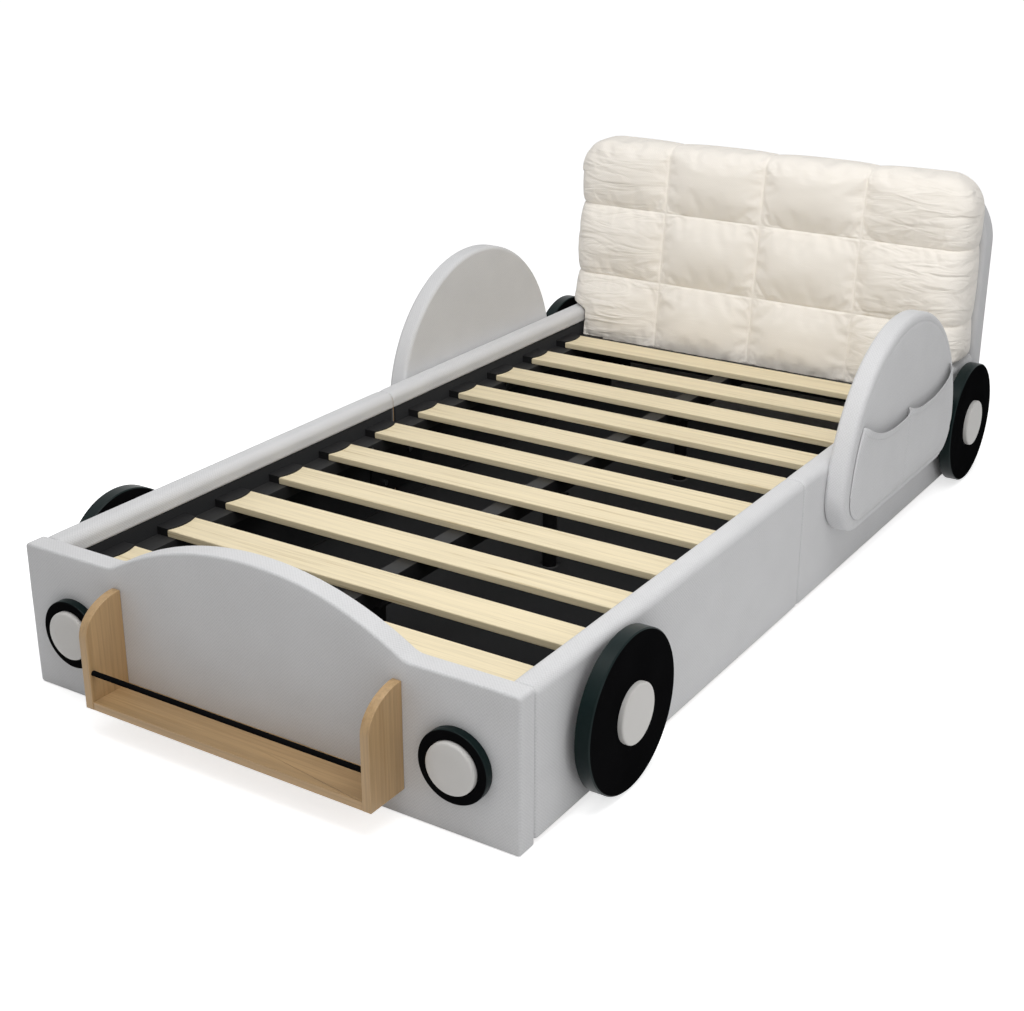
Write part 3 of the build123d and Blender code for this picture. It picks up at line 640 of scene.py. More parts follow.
def footboard_loop(inset):
    """The footboard's outline drawn in by inset: a low rectangle with a circular hump, whose feet are eased by
    hollow arcs, and small round corners."""
    half, top, low, corner = BOARD_HALF - inset, FOOT_TOP - inset, 1.0 + inset / 2, max(2.0, 9.0 - inset)
    foot_round = max(2.0, 7.0 - inset)
    rise, chord = HUMP_TOP - FOOT_TOP, HUMP_HALF - inset / 2
    radius = (chord**2 + rise**2) / (2 * rise)
    centre = top + rise - radius
    foot = HUMP_FOOT + inset
    # The hollow arc touches the flat top and the hump: its middle is foot above the top and radius + foot away
    foot_x = math.sqrt((radius + foot) ** 2 - (top + foot - centre) ** 2)
    lean = math.degrees(math.atan2(top + foot - centre, foot_x))
    return np.concatenate([
        arc((half - foot_round, low + foot_round), foot_round, -90, 0, 6),
        line((half, low + foot_round), (half, top - corner), 24),
        arc((half - corner, top - corner), corner, 0, 90, 10),
        line((half - corner, top), (foot_x, top), 20),
        arc((foot_x, top + foot), foot, 270, 180 + lean, 14),
        arc((0, centre), radius, lean, 180 - lean, 90),
        arc((-foot_x, top + foot), foot, -lean, -90, 14),
        line((-foot_x, top), (corner - half, top), 20),
        arc((corner - half, top - corner), corner, 90, 180, 10),
        line((-half, top - corner), (-half, low + foot_round), 24),
        arc((foot_round - half, low + foot_round), foot_round, 180, 270, 6),
        line((foot_round - half, low), (half - foot_round, low), 60),
    ])


class BED_OT_footboard(Operator):
    """Footboard cover: cloth over wadding round a board, swollen a little and rounded at the rim"""

    bl_idname = "bed.footboard"
    bl_label = "Footboard Cover"

    def execute(self, context):
        middle = np.array([0.0, 150.0])
        ripple = look().cover.ripple / MM

        def swell(x, z):
            over = FOOT_TOP - z + (HUMP_TOP - FOOT_TOP) * np.clip(1 - (x / HUMP_HALF) ** 2, 0, 1)
            return -2.0 * fade((BOARD_HALF - np.abs(x), z, over), 16) + ripple * waves(x, z, 3, 190)

        outer = slab(footboard_loop(0), middle, -FOOT_BACK, -FOOT_FACE, 6, 6, None, swell)
        inner = slab(footboard_loop(8.4), middle, 8.2 - FOOT_BACK, -8.2 - FOOT_FACE, 1, 1)
        padded_cover("footboard_padded_cover", facing_foot(outer), facing_foot(inner), "footboard_cover")
        return {"FINISHED"}


class BED_OT_rails(Operator):
    """Rail covers: one cross-section, from the lower outer edge over the top to the inner wrap, carried along"""

    bl_idname = "bed.rails"
    bl_label = "Rail Covers"

    def execute(self, context):
        outer = np.concatenate([
            line((CORE_OUT + 1, RAIL_BOTTOM + 0.3), (OUTER_HALF - 4, RAIL_BOTTOM + 0.3), 2),
            arc((OUTER_HALF - 4, RAIL_BOTTOM + 4.3), 4, -90, 0, 6),
            line((OUTER_HALF, RAIL_BOTTOM + 4.3), (OUTER_HALF, RAIL_TOP - RAIL_ROUND), 26),
            arc((OUTER_HALF - RAIL_ROUND, RAIL_TOP - RAIL_ROUND), RAIL_ROUND, 0, 90, 12),
            line((OUTER_HALF - RAIL_ROUND, RAIL_TOP), (INNER_HALF + RAIL_ROUND, RAIL_TOP), 5),
            arc((INNER_HALF + RAIL_ROUND, RAIL_TOP - RAIL_ROUND), RAIL_ROUND, 90, 180, 12),
            line((INNER_HALF, RAIL_TOP - RAIL_ROUND), (INNER_HALF, LINING_TOP - 3), 6),
        ])
        gap, turn = 0.3, 12.0
        inner = np.concatenate([
            line((CORE_OUT + gap, RAIL_BOTTOM + 0.3), (CORE_OUT + gap, RAIL_BOTTOM + 1), 2),
            line((CORE_OUT + gap, RAIL_BOTTOM + 1), (CORE_OUT + gap, RAIL_BOTTOM + 8), 6),
            line((CORE_OUT + gap, RAIL_BOTTOM + 8), (CORE_OUT + gap, CORE_TOP - turn), 26),
            arc((CORE_OUT - turn, CORE_TOP - turn), turn + gap, 0, 90, 12),
            line((CORE_OUT - turn, CORE_TOP + gap), (CORE_IN + turn, CORE_TOP + gap), 5),
            arc((CORE_IN + turn, CORE_TOP - turn), turn + gap, 90, 180, 12),
            line((CORE_IN - gap, CORE_TOP - turn), (CORE_IN - gap, LINING_TOP - 3), 6),
        ])
        pad = outer - inner
        depth = np.linalg.norm(pad, axis=1)
        away = pad / depth[:, None]
        upright = np.clip((outer[:, 1] - RAIL_BOTTOM) / (RAIL_TOP - RAIL_BOTTOM), 0, 1)
        outside = np.clip((outer[:, 0] - INNER_HALF) / 30, 0, 1)
        ripple = look().cover.ripple / MM
        for section, (low, high) in {"front": (FOOT_BACK, SEAM_Y), "rear": (SEAM_Y, HEAD_FACE)}.items():
            for side_name, side in SIDES.items():
                radius = look().cover.seam_round / MM
                near = np.array([0.9, 1.2, 1.8, 2.6, 3.6, 5.0, 7.0, 9.5, 13])
                along = np.concatenate([low + near, np.linspace(low + 20, high - 20, 90), high - near[::-1]])
                from_end = np.minimum(along - low, high - along) - near[0]
                left_over = np.clip(1 - from_end / radius, 0, 1)
                drawn_in = radius * (1 - np.sqrt(1 - left_over**2)) + 1.2 * np.exp(-from_end / 12)
                take = np.minimum(drawn_in[:, None], 0.75 * depth[None])
                soft = (waves(along[:, None], outer[None, :, 1], 11 + len(section) + side, 260) * ripple - 0.6)
                soft = soft * np.minimum(1, from_end / 40)[:, None] * outside[None] * np.sin(np.pi * upright)[None]
                skin = outer[None] + away[None] * (soft - take)[..., None]
                rings = np.concatenate([skin, np.broadcast_to(inner[::-1], (len(along), *inner.shape))], 1)
                shut = np.concatenate([(skin + inner) / 2, ((skin + inner) / 2)[:, ::-1]], 1)
                rings = np.concatenate([shut[:1], rings, shut[-1:]])
                along = np.concatenate([along[:1], along, along[-1:]])
                places = np.stack([
                    side * rings[..., 0], np.broadcast_to(along[:, None], rings.shape[:2]), rings[..., 1]
                ], -1)
                rail = f"rail_{section}_{side_name}"
                padded_cover(f"{rail}_padded_cover", places, None, f"{rail}_cover")
        return {"FINISHED"}


class BED_OT_linings(Operator):
    """Rail linings: flat sheets with faint waves, stretched over the inner faces of the rail boards"""

    bl_idname = "bed.linings"
    bl_label = "Rail Linings"

    def execute(self, context):
        for side_name, side in SIDES.items():
            sheets = []
            area = 0
            for low, high in ((FOOT_BACK + 2, SEAM_Y - 2), (SEAM_Y + 2, HEAD_FACE - 2)):
                y, z = np.meshgrid(np.linspace(low, high, 130), np.linspace(RAIL_BOTTOM + 0.5, LINING_TOP, 30))
                x = INNER_HALF + 0.9 + 0.25 * waves(y, z, 21 + side, 120)
                sheets.append(patch(np.stack([side * x, y, z], -1)))
                area += (high - low) * (LINING_TOP - RAIL_BOTTOM) * MM * MM
            cloth_sheet(
                f"rail_lining_{side_name}_cloth", sheets, "spunbond", "black_cloth", f"rail_lining_{side_name}",
                (-side, 0, 0), 1.0, held="stretched", area=area,
                flat=((LINING_TOP - RAIL_BOTTOM) * MM, (HEAD_FACE - FOOT_BACK) * MM),
                rests_on=[f"rail_front_{side_name}_core", f"rail_rear_{side_name}_core"]
            )
        return {"FINISHED"}


def face_sheet(piece, towards):
    """Turns an open sheet over where its mean normal points away from the wanted direction."""
    mesh = piece.data
    normals = np.empty(len(mesh.polygons) * 3)
    mesh.polygons.foreach_get("normal", normals)
    if np.dot(normals.reshape(-1, 3).sum(0), towards) < 0:
        mesh.flip_normals()
    mesh.update()


class BED_OT_backboard(Operator):
    """Headboard panel cover: a thick rounded slab with big round upper corners and softly swollen faces"""

    bl_idname = "bed.backboard"
    bl_label = "Headboard Panel Cover"

    def execute(self, context):
        def loop(inset):
            half, top, low, corner = BOARD_HALF - inset, BACK_TOP - inset, 1.0 + inset / 4, BACK_CORNER - inset
            ease = max(2.0, 14.0 - inset)
            return rounded_outline(
                ((half - ease, low + ease), ease, 8, 50), ((half - corner, top - corner), corner, 40, 70),
                ((corner - half, top - corner), corner, 40, 50), ((ease - half, low + ease), ease, 8, 80)
            )

        middle = np.array([0.0, 340.0])
        ripple = look().cover.ripple / MM

        def swell(x, z):
            return 3.0 * fade((BOARD_HALF - np.abs(x), BACK_TOP - z, z), 30) + ripple * waves(x, z, 5, 240)

        outer = slab(loop(0), middle, -REAR_FACE, -HEAD_FACE, 13, 13, swell, None)
        inner = slab(loop(20.5), middle, 20.4 - REAR_FACE, -20.4 - HEAD_FACE, 1, 1)
        padded_cover("headboard_panel_padded_cover", facing_foot(outer), facing_foot(inner), "backboard_cover")
        return {"FINISHED"}


def moon_loop(inset):
    """The side panel's outline drawn in by inset: a big arc, a flat foot and the two arcs that join them."""
    radius, corner, low = PANEL_RADIUS - inset, PANEL_CORNER - inset, PANEL_BOTTOM + inset
    rise = low + corner - PANEL_CENTRE
    reach = math.sqrt((radius - corner) ** 2 - rise**2)
    lean = math.degrees(math.atan2(rise, reach))
    return np.concatenate([
        arc((PANEL_Y, PANEL_CENTRE), radius, lean, 180 - lean, 130),
        arc((PANEL_Y - reach, low + corner), corner, 180 - lean, 270, 40),
        line((PANEL_Y - reach, low), (PANEL_Y + reach, low), 50),
        arc((PANEL_Y + reach, low + corner), corner, -90, lean, 40),
    ])


def moon_face(y, z):
    """Depth of a side panel's face at a place: the flat face less a share that fades away from the rim."""
    gaps = (PANEL_RADIUS - np.hypot(y - PANEL_Y, z - PANEL_CENTRE), z - PANEL_BOTTOM)
    stitched = 1.3 * np.exp(-(((np.minimum(*gaps) - 20) / 2.2) ** 2))
    return -look().cover.crown / MM * fade(gaps, 26) - stitched


class BED_OT_side_panels(Operator):
    """Half-moon side panel covers: rounded slabs with softly swollen faces"""

    bl_idname = "bed.side_panels"
    bl_label = "Side Panel Covers"

    def execute(self, context):
        middle = np.array([PANEL_Y, 270.0])
        for side_name, side in SIDES.items():
            outer = slab(moon_loop(0), middle, OUTER_HALF - 0.8, PANEL_FACE, 10, 15, None, moon_face, 44)
            inner = slab(moon_loop(11.7), middle, OUTER_HALF - 0.3, PANEL_FACE - 11.7, 0.4, 1)
            panel = f"side_panel_{side_name}"
            padded_cover(
                f"{panel}_padded_cover", facing_side(outer, side), facing_side(inner, side), f"{panel}_cover"
            )
        return {"FINISHED"}


def pocket_mouth(off):
    """Height of the pocket's mouth above the panel's middle height, at a distance off from its middle: a curve
    through 135 at the middle seam, 124 at 90 and 169 at the outer ends, where it climbs with the fourth power."""
    reach = np.abs(off) / 269
    return 123 + 12 * np.exp(-np.abs(off) / 34) + 46 * reach**4


class BED_OT_pockets(Operator):
    """Side pockets: a sheet sewn to the panel round its rim and down its middle, open and slack at the mouth"""

    bl_idname = "bed.pockets"
    bl_label = "Side Pockets"

    def execute(self, context):
        radius, corner = PANEL_RADIUS - POCKET_INSET, PANEL_CORNER - POCKET_INSET
        low = PANEL_BOTTOM + POCKET_INSET
        rise = low + corner - PANEL_CENTRE
        reach = math.sqrt((radius - corner) ** 2 - rise**2)
        widest = math.sqrt(radius**2 - (low + corner - PANEL_CENTRE) ** 2)
        near_seam = 1 - (1 - np.linspace(0, 1, 80)) ** 1.8
        off = np.concatenate([-widest + widest * near_seam[:-1] * 0.5, np.linspace(-0.5, 0.5, 130) * widest])
        off = np.concatenate([off, -off[: len(near_seam) - 1][::-1]])
        off = np.unique(np.concatenate([off, -off, [0.0]]).round(4))
        side_height = np.where(
            np.abs(off) > reach,
            low + corner - np.sqrt(np.maximum(corner**2 - (np.abs(off) - reach) ** 2, 0)), low
        )
        ends = PANEL_CENTRE + np.sqrt(np.maximum(radius**2 - off**2, 0))
        mouth = np.minimum(PANEL_CENTRE + pocket_mouth(off), ends)
        share = 1 - (1 - np.linspace(0, 1, 100)) ** 1.15
        z = side_height[None] + share[:, None] * np.maximum(mouth - side_height, 0.05)[None]
        y = np.broadcast_to(off[None], z.shape)
        rim = np.minimum(radius - np.hypot(y, z - PANEL_CENTRE), z - low)
        corner_gap = corner - np.hypot(np.abs(y) - reach, z - low - corner)
        in_corner = (np.abs(y) > reach) & (z < low + corner)
        rim = np.maximum(np.where(in_corner, corner_gap, rim), 0)
        slack = (1 - np.exp(-rim / 14)) * (1 - 0.97 * np.exp(-np.abs(y) / 6))
        below_mouth = np.maximum(np.broadcast_to(mouth, z.shape) - z, 0)
        gape = 8.0 * np.exp(-below_mouth / 24) * (1 - np.exp(-np.abs(y) / 16)) * (1 - np.exp(-rim / 14))
        hem = 0.5 * (below_mouth < 15) - 0.9 * np.exp(-(((below_mouth - 16) / 1.6) ** 2))
        hem = (hem - 0.9 * np.exp(-(((rim - 9) / 1.8) ** 2))) * (1 - np.exp(-rim / 6))
        folds = 0.7 * waves(y, z, 8, 110) * slack
        tall = mouth - side_height
        area = float((tall[1:] + tall[:-1]) @ np.diff(off) / 2) * MM * MM
        for side_name, side in SIDES.items():
            depth = PANEL_FACE + moon_face(y + PANEL_Y, z) + 2.2 + 5.4 * slack + gape + hem + folds
            grid = np.stack([side * depth, y + PANEL_Y, z], -1)
            cloth_sheet(
                f"pocket_{side_name}_cloth", [patch(grid)], "linen_look", "grey_cloth", f"pocket_{side_name}",
                (side, 0, 0), 1.4, held="hung", area=area,
                flat=(2 * widest * MM, float(mouth.max() - low) * MM), rests_on=[f"side_panel_{side_name}_core"]
            )
        return {"FINISHED"}


def puff(place, seams, ends, power=2.6):
    """How full the cushion is between seams: 1 - |t|^power, where t runs from -1 to 1 between two seams. An
    outer cell has only one seam, and stays full from its middle to the cushion's edge."""
    marks = np.concatenate([[ends[0]], seams, [ends[1]]])
    cell = np.clip(np.searchsorted(marks, place, side="right") - 1, 0, len(marks) - 2)
    low, high = marks[cell], marks[cell + 1]
    t = (2 * place - low - high) / (high - low)
    t = np.where((cell == 0) & (t < 0), 0, t)
    t = np.where((cell == len(marks) - 2) & (t > 0), 0, t)
    return 1 - np.abs(np.clip(t, -1, 1)) ** power


def cushion_plane(u, w, side_inset, top_inset, low_inset, corner, notch):
    """Places (x, z) of the cushion's front at shares u (-1 to 1) across and w (0 to 3) up, one unit for each
    row. Seams stay where they are and the outer parts stretch to the outline, whose upper corners are arcs."""
    half = BOARD_HALF - side_inset
    top, low = CUSHION_TOP - top_inset, CUSHION_BOTTOM + low_inset
    straight = 0.75 * BOARD_HALF
    x = np.abs(u) * BOARD_HALF
    x = np.where(x > straight, straight + (x - straight) * (half - straight) / (BOARD_HALF - straight), x)
    over = np.clip(x - (half - corner), 0, corner)
    crest = top - corner + np.sqrt(np.maximum(corner**2 - over**2, 0))
    z = np.where(w < 1, low + w * (ROW_SEAMS[0] - low), ROW_SEAMS[0] + (w - 1) * (ROW_SEAMS[1] - ROW_SEAMS[0]))
    z = np.where(w > 2, ROW_SEAMS[1] + (w - 2) * (crest - ROW_SEAMS[1]), z)
    if notch:
        narrow = 1 / (1 + np.exp((z - RAIL_TOP - 1) / 1.2))
        inner = straight + (x - straight) * (INNER_HALF - 1 - straight) / (half - straight)
        x = np.where(x > straight, x + (inner - x) * narrow, x)
    return np.sign(u) * x, z


def close_to_seams(share, cells):
    """Even shares with cells to each unit moved towards the seams: s - 0.6 sin(2 pi s) / (2 pi) inside a cell."""
    return share - 0.6 * np.sin(2 * np.pi * share * cells) / (2 * np.pi * cells)


def between_edges(rim, columns, rows):
    """A grid between the four edges of a rim: the mean of its left and right edges across, plus the mean of its
    lower and upper edges up, less the mean of its four corners, each weighted by how near it is."""
    bottom, right = rim[:columns], rim[columns - 1 : columns + rows - 1]
    top = rim[columns + rows - 2 : 2 * columns + rows - 2][::-1]
    left = np.concatenate([rim[2 * columns + rows - 3 :], rim[:1]])[::-1]
    s, t = np.linspace(0, 1, columns)[None, :, None], np.linspace(0, 1, rows)[:, None, None]
    corners = (1 - s) * (1 - t) * bottom[0] + s * (1 - t) * bottom[-1] + (1 - s) * t * top[0] + s * t * top[-1]
    return (1 - t) * bottom[None] + t * top[None] + (1 - s) * left[:, None] + s * right[:, None] - corners


def swell_cloth(piece):
    """Blows the cushion's cover up as cloth held along its seams, back and foot, and keeps the moved shape.

    The cover is cut larger than its place, most in the outer columns, so it creases as it swells. A point moves
    by at most the cap: its way times the smaller of 1 and cap / length."""
    mesh = piece.data
    count = len(mesh.vertices)
    rest = np.empty(count * 3)
    mesh.vertices.foreach_get("co", rest)
    rest = rest.reshape(-1, 3)
    x, y, z = (rest / MM).T
    across = puff(x, np.array([-COLUMN_SEAM, 0, COLUMN_SEAM]), (-BOARD_HALF, BOARD_HALF))
    up = puff(z, np.array(ROW_SEAMS), (CUSHION_BOTTOM, CUSHION_TOP))
    on_back = y > HEAD_FACE - 46
    low = z < RAIL_TOP - 40
    # Seams are where a column's or row's fullness nears nothing; row seams end where the top rolls back
    seam = (across < 0.07) | (up < 0.09)
    held = seam | on_back | (low & (np.abs(x) > INNER_HALF - 14)) | (z < CUSHION_BOTTOM + 6)
    slack = np.clip((np.abs(x) - COLUMN_SEAM) / 60, 0, 1) * 0.8 + 0.2
    group = piece.vertex_groups.new(name="held")
    group.add(np.nonzero(held)[0].tolist(), 1.0, "REPLACE")
    loose = piece.vertex_groups.new(name="slack")
    for level in np.unique(slack.round(1)):
        loose.add(np.nonzero(slack.round(1) == level)[0].tolist(), float(level), "REPLACE")
    start = rest + (0.0006 * np.stack([waves(x, z, 51 + k, 37) for k in range(3)], 1)) * ~held[:, None]
    mesh.vertices.foreach_set("co", start.ravel())
    mesh.update()
    cloth = piece.modifiers.new("Swell", "CLOTH")
    settings = cloth.settings
    settings.quality = 6
    settings.mass = 0.2
    settings.tension_stiffness = settings.compression_stiffness = 18
    settings.shear_stiffness = 6
    settings.bending_stiffness = 0.08
    settings.vertex_group_mass = "held"
    settings.use_pressure = True
    settings.uniform_pressure_force = 4.0
    settings.vertex_group_shrink = "slack"
    settings.shrink_min, settings.shrink_max = -0.02, -0.13
    settings.effector_weights.gravity = 0
    cloth.collision_settings.use_self_collision = False
    scene = bpy.context.scene
    for step in range(1, SWELL_STEPS + 1):
        scene.frame_set(step)
    moved = piece.evaluated_get(bpy.context.evaluated_depsgraph_get())
    ends = np.empty(count * 3)
    moved.data.vertices.foreach_get("co", ends)
    way = ends.reshape(-1, 3) - rest
    length = np.linalg.norm(way, axis=1, keepdims=True)
    final = rest + way * np.minimum(1, SWELL_CAP * MM / np.maximum(length, 1e-9))
    final[:, 1] = np.minimum(final[:, 1], (HEAD_FACE - BACK_GAP) * MM)
    piece.modifiers.remove(cloth)
    scene.frame_set(1)
    mesh.vertices.foreach_set("co", final.ravel())
    mesh.update()


class BED_OT_cushion(Operator):
    """Headboard cushion: a grid of puffs on the leaning front, rolled over the sides and top to a flat back"""

    bl_idname = "bed.cushion"
    bl_label = "Headboard Cushion"

    def execute(self, context):
        shape = look().cushion
        crown, side_draw, top_draw = shape.crown / MM, shape.side_draw / MM, shape.top_draw / MM
        u = close_to_seams(np.linspace(-1, 1, 145), 2)
        w = close_to_seams(np.linspace(0, 3, 85), 1)
        u_grid, w_grid = np.meshgrid(u, w)
        x, z = cushion_plane(u_grid, w_grid, 60, 31, 16, 50, False)
        seams_x, seams_z = np.array([-COLUMN_SEAM, 0, COLUMN_SEAM]), np.array(ROW_SEAMS)
        ends_x, ends_z = (-BOARD_HALF, BOARD_HALF), (CUSHION_BOTTOM, CUSHION_TOP)

        def full(px, pz):
            across = puff(px, seams_x, ends_x) ** 0.62
            up = puff(pz, seams_z, ends_z) ** 0.62
            return across, up

        def crease(px, pz, size):
            """Wrinkles: waves stretched along the rows, strongest near the seams."""
            long = waves(px * 0.45, pz * 1.7, 31, 60) * 0.5 + waves(px, pz, 32, 34) * 0.35
            pleats = waves(px, pz * 0.15, 33, 30) * np.exp(-(pz - CUSHION_BOTTOM - 16) / 38)
            return size * (long + 1.1 * pleats)

        across, up = full(x, z)
        lean = HEAD_FACE - 172.0 + (z - CUSHION_BOTTOM) * CUSHION_LEAN
        wrinkle = shape.wrinkle / MM
        front = lean - crown * across * up - crease(x, z, wrinkle) * (0.4 + 0.6 * (1 - across * up)) * across
        grid = np.stack([x, front, z], -1)
        edge = np.concatenate([
            np.stack([np.zeros(len(u), int), np.arange(len(u))], 1)[:-1],
            np.stack([np.arange(len(w)), np.full(len(w), len(u) - 1)], 1)[:-1],
            np.stack([np.full(len(u), len(w) - 1), np.arange(len(u))[::-1]], 1)[:-1],
            np.stack([np.arange(len(w))[::-1], np.zeros(len(w), int)], 1)[:-1],
        ])
        rim = grid[edge[:, 0], edge[:, 1]]
        rim_u, rim_w = u_grid[edge[:, 0], edge[:, 1]], w_grid[edge[:, 0], edge[:, 1]]
        far_x, far_z = cushion_plane(rim_u, rim_w, 0, 0, 0, CUSHION_CORNER, True)
        rim_across, rim_up = full(rim[:, 0], rim[:, 2])
        on_side = (np.abs(rim_u) > 0.999) & (rim_w < 2.999)
        away = np.stack([far_x - rim[:, 0], far_z - rim[:, 2]], 1)
        away = away / np.maximum(np.linalg.norm(away, axis=1, keepdims=True), 1e-6)
        draw = np.where(on_side, side_draw * (1 - rim_up), top_draw * (1 - rim_across))
        draw = np.where(rim_w < 0.001, 0, draw)
        turn = np.linspace(0, np.pi / 2, 13)[1:]
        depth = np.where(on_side, 60.0, 44.0)
        depth = np.where(rim_w < 0.001, 16.0, depth)
        rings = []
        for t in turn:
            flat = rim[:, [0, 2]] + (np.stack([far_x, far_z], 1) - rim[:, [0, 2]]) * math.sin(t)
            flat = flat - away * (draw * math.sin(t))[:, None]
            rings.append(np.stack([flat[:, 0], rim[:, 1] + depth * (1 - math.cos(t)), flat[:, 1]], 1))
        last = rings[-1]
        back_start = np.maximum(HEAD_FACE - 45.0, last[:, 1] + 1)
        for share in np.linspace(0, 1, 10)[1:]:
            ring = last.copy()
            ring[:, 1] = last[:, 1] + (back_start - last[:, 1]) * share
            rings.append(ring)
        for t in turn[::2]:
            ring = rings[len(turn) + 8].copy()
            ring[:, [0, 2]] -= away * (30 * (1 - math.cos(t)))
            ring[:, 1] = back_start + (HEAD_FACE - BACK_GAP - back_start) * math.sin(t)
            rings.append(ring)
        skin = np.concatenate([rim[None], np.array(rings)])
        skin[..., 1] = np.minimum(skin[..., 1], HEAD_FACE - BACK_GAP)
        back = between_edges(skin[-1], len(u), len(w))
        piece = make_piece(
            "headboard_cushion_padded", [patch(grid), patch(skin, True), patch(back)], [material("cream_velvet")],
            ["headboard_cushion"], turn=True
        )
        swell_cloth(piece)
        fine = piece.modifiers.new("Smooth", "SUBSURF")
        fine.levels = fine.render_levels = 1
        return {"FINISHED"}


class BED_OT_base_cloth(Operator):
    """Closing cloth under the bed: a flat sheet of strips, with a round hole for each leg"""

    bl_idname = "bed.base_cloth"
    bl_label = "Closing Cloth"

    def execute(self, context):
        low_corner, high_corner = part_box("base_cloth")
        half, low, high = high_corner[0] / MM, low_corner[1] / MM, high_corner[1] / MM
        middle = (low_corner[2] + high_corner[2]) / 2 / MM
        legs = [middle_mm(f"centre_leg_{n}")[1] for n in (1, 2, 3)]
        square, radius = 60.0, 17.0
        beside = np.linspace(square, half, 20)
        columns = np.concatenate([-beside[::-1], np.linspace(-square, square, 13)[1:], beside[1:]])

        def strip(xs, ys):
            x, y = np.meshgrid(xs, ys)
            sag = 0.4 * waves(x, y, 41, 300)
            return patch(np.stack([x, y, middle + np.clip(sag, -0.4, 0.4)], -1))

        strips = []
        start = low
        for y in legs:
            strips.append(strip(columns, np.linspace(start, y - square, 24)))
            rows = np.linspace(y - square, y + square, 13)
            strips.append(strip(columns[columns <= -square + 0.01], rows))
            strips.append(strip(columns[columns >= square - 0.01], rows))
            share = np.linspace(-1, 1, 13)[:-1]
            ones = np.ones(12)
            sides = ((ones, share), (-share, ones), (-ones, -share), (share, -ones))
            ring = np.concatenate([np.stack(side, 1) for side in sides])
            hole = ring / np.linalg.norm(ring, axis=1, keepdims=True) * radius
            mix = np.linspace(0, 1, 6)[:, None, None]
            around = hole[None] * (1 - mix) + ring[None] * square * mix
            sag = np.clip(0.4 * waves(around[..., 0], around[..., 1] + y, 41, 300), -0.4, 0.4)
            strips.append(patch(np.concatenate([around + [0, y], (middle + sag)[..., None]], -1), True))
            start = y + square
        strips.append(strip(columns, np.linspace(start, high, 24)))
        cloth_sheet(
            "closing_cloth", strips, "spunbond", "black_cloth", "base_cloth", (0, 0, 1), 1.0, 0, True,
            flat=(2 * half * MM, (high - low) * MM), held="stretched",
            rests_on=[f"rail_{end}_{side}_core" for end in ("front", "rear") for side in SIDES]
        )
        return {"FINISHED"}


def disc_piece(name, profile, kinds, node, place, axis, band=None):
    """A turned piece on an axis along X or Y: (across, up, along) of a revolved profile become world places.
    The points of the profile in the band take the second finish."""
    spans = [(0, len(profile), 0)]
    if band:
        first, last = band
        spans = [(0, first + 1, 0), (first, last, 1), (last - 1, len(profile), 0)]
    patches = []
    for start, end, finish in spans:
        across, up, along = np.moveaxis(revolve(profile[start:end], look().wheel.steps), -1, 0)
        if axis[0]:
            places = (place[0] + axis[0] * along, place[1] + across, place[2] + up)
        else:
            places = (place[0] + across, place[1] + axis[1] * along, place[2] + up)
        patches.append(patch(np.stack(places, -1), True, finish))
    make_piece(name, patches, [material(kind) for kind in kinds], [node], sharp=28)


def rounded(points, radius, count=5):
    """A (radius, along) profile whose inner corners are cut by quadratic arcs: (1-t)^2 a + 2t(1-t) b + t^2 c,
    where a and c stand radius before and after the corner b."""
    points = np.array(points, float)
    made = [points[:1]]
    for before, corner, after in zip(points[:-2], points[1:-1], points[2:]):
        back, on = before - corner, after - corner
        reach = min(radius, np.linalg.norm(back) / 2.2, np.linalg.norm(on) / 2.2)
        a, c = corner + back / np.linalg.norm(back) * reach, corner + on / np.linalg.norm(on) * reach
        t = np.linspace(0, 1, count)[:, None]
        made.append((1 - t) ** 2 * a + 2 * t * (1 - t) * corner + t**2 * c)
    return np.concatenate([*made, points[-1:]])


# The faces and the rim of a black disc; the rim's finish holds a painted teal reflection
BLACK_DISC = ("satin_lacquer", "painted_reflection_rim")


class BED_OT_wheels(Operator):
    """Wheels and hubs: turned profiles with a fine bevel at the rim, and rounded hub caps"""

    bl_idname = "bed.wheels"
    bl_label = "Wheels And Hubs"

    def execute(self, context):
        bevel = look().wheel.chamfer / MM
        for end in ("front", "rear"):
            for side_name, side in SIDES.items():
                node = f"wheel_{end}_{side_name}"
                _, y, z = middle_mm(node)
                radius = (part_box(node)[1][2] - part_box(node)[0][2]) / 2 / MM
                edge = [(60, 18), (radius - 2, 18), (radius, 20), (radius, 48 - bevel), (radius - bevel, 48)]
                back = rounded([(0, 0.2), (60, 0.2), *edge[:1]], 1.0, 3)
                rim = edge[1:]
                face = [
                    (radius - bevel, 48), (radius - bevel - 1.2, 47.6), (radius * 0.7, 47.6), (58, 47.6), (0, 47.6)
                ]
                profile = np.concatenate([back, rim, face])
                # The rim band takes the finish with the painted teal reflection
                disc_piece(
                    f"{node}_disc", profile, BLACK_DISC, node, (side * OUTER_HALF, y, z), (side, 0),
                    (len(back), len(back) + len(rim))
                )
                hub = f"hub_{end}_{side_name}"
                size = (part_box(hub)[1][2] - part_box(hub)[0][2]) / 2 / MM
                cap = rounded([(0, 0), (size - 0.5, 0), (size, 1), (size, 11.4), (0, 12.2)], 4.5, 9)
                place = (side * (OUTER_HALF + 48 - 0.3), y, z)
                disc_piece(f"{hub}_cap", cap, ["light_abs"], hub, place, (side, 0))
        return {"FINISHED"}


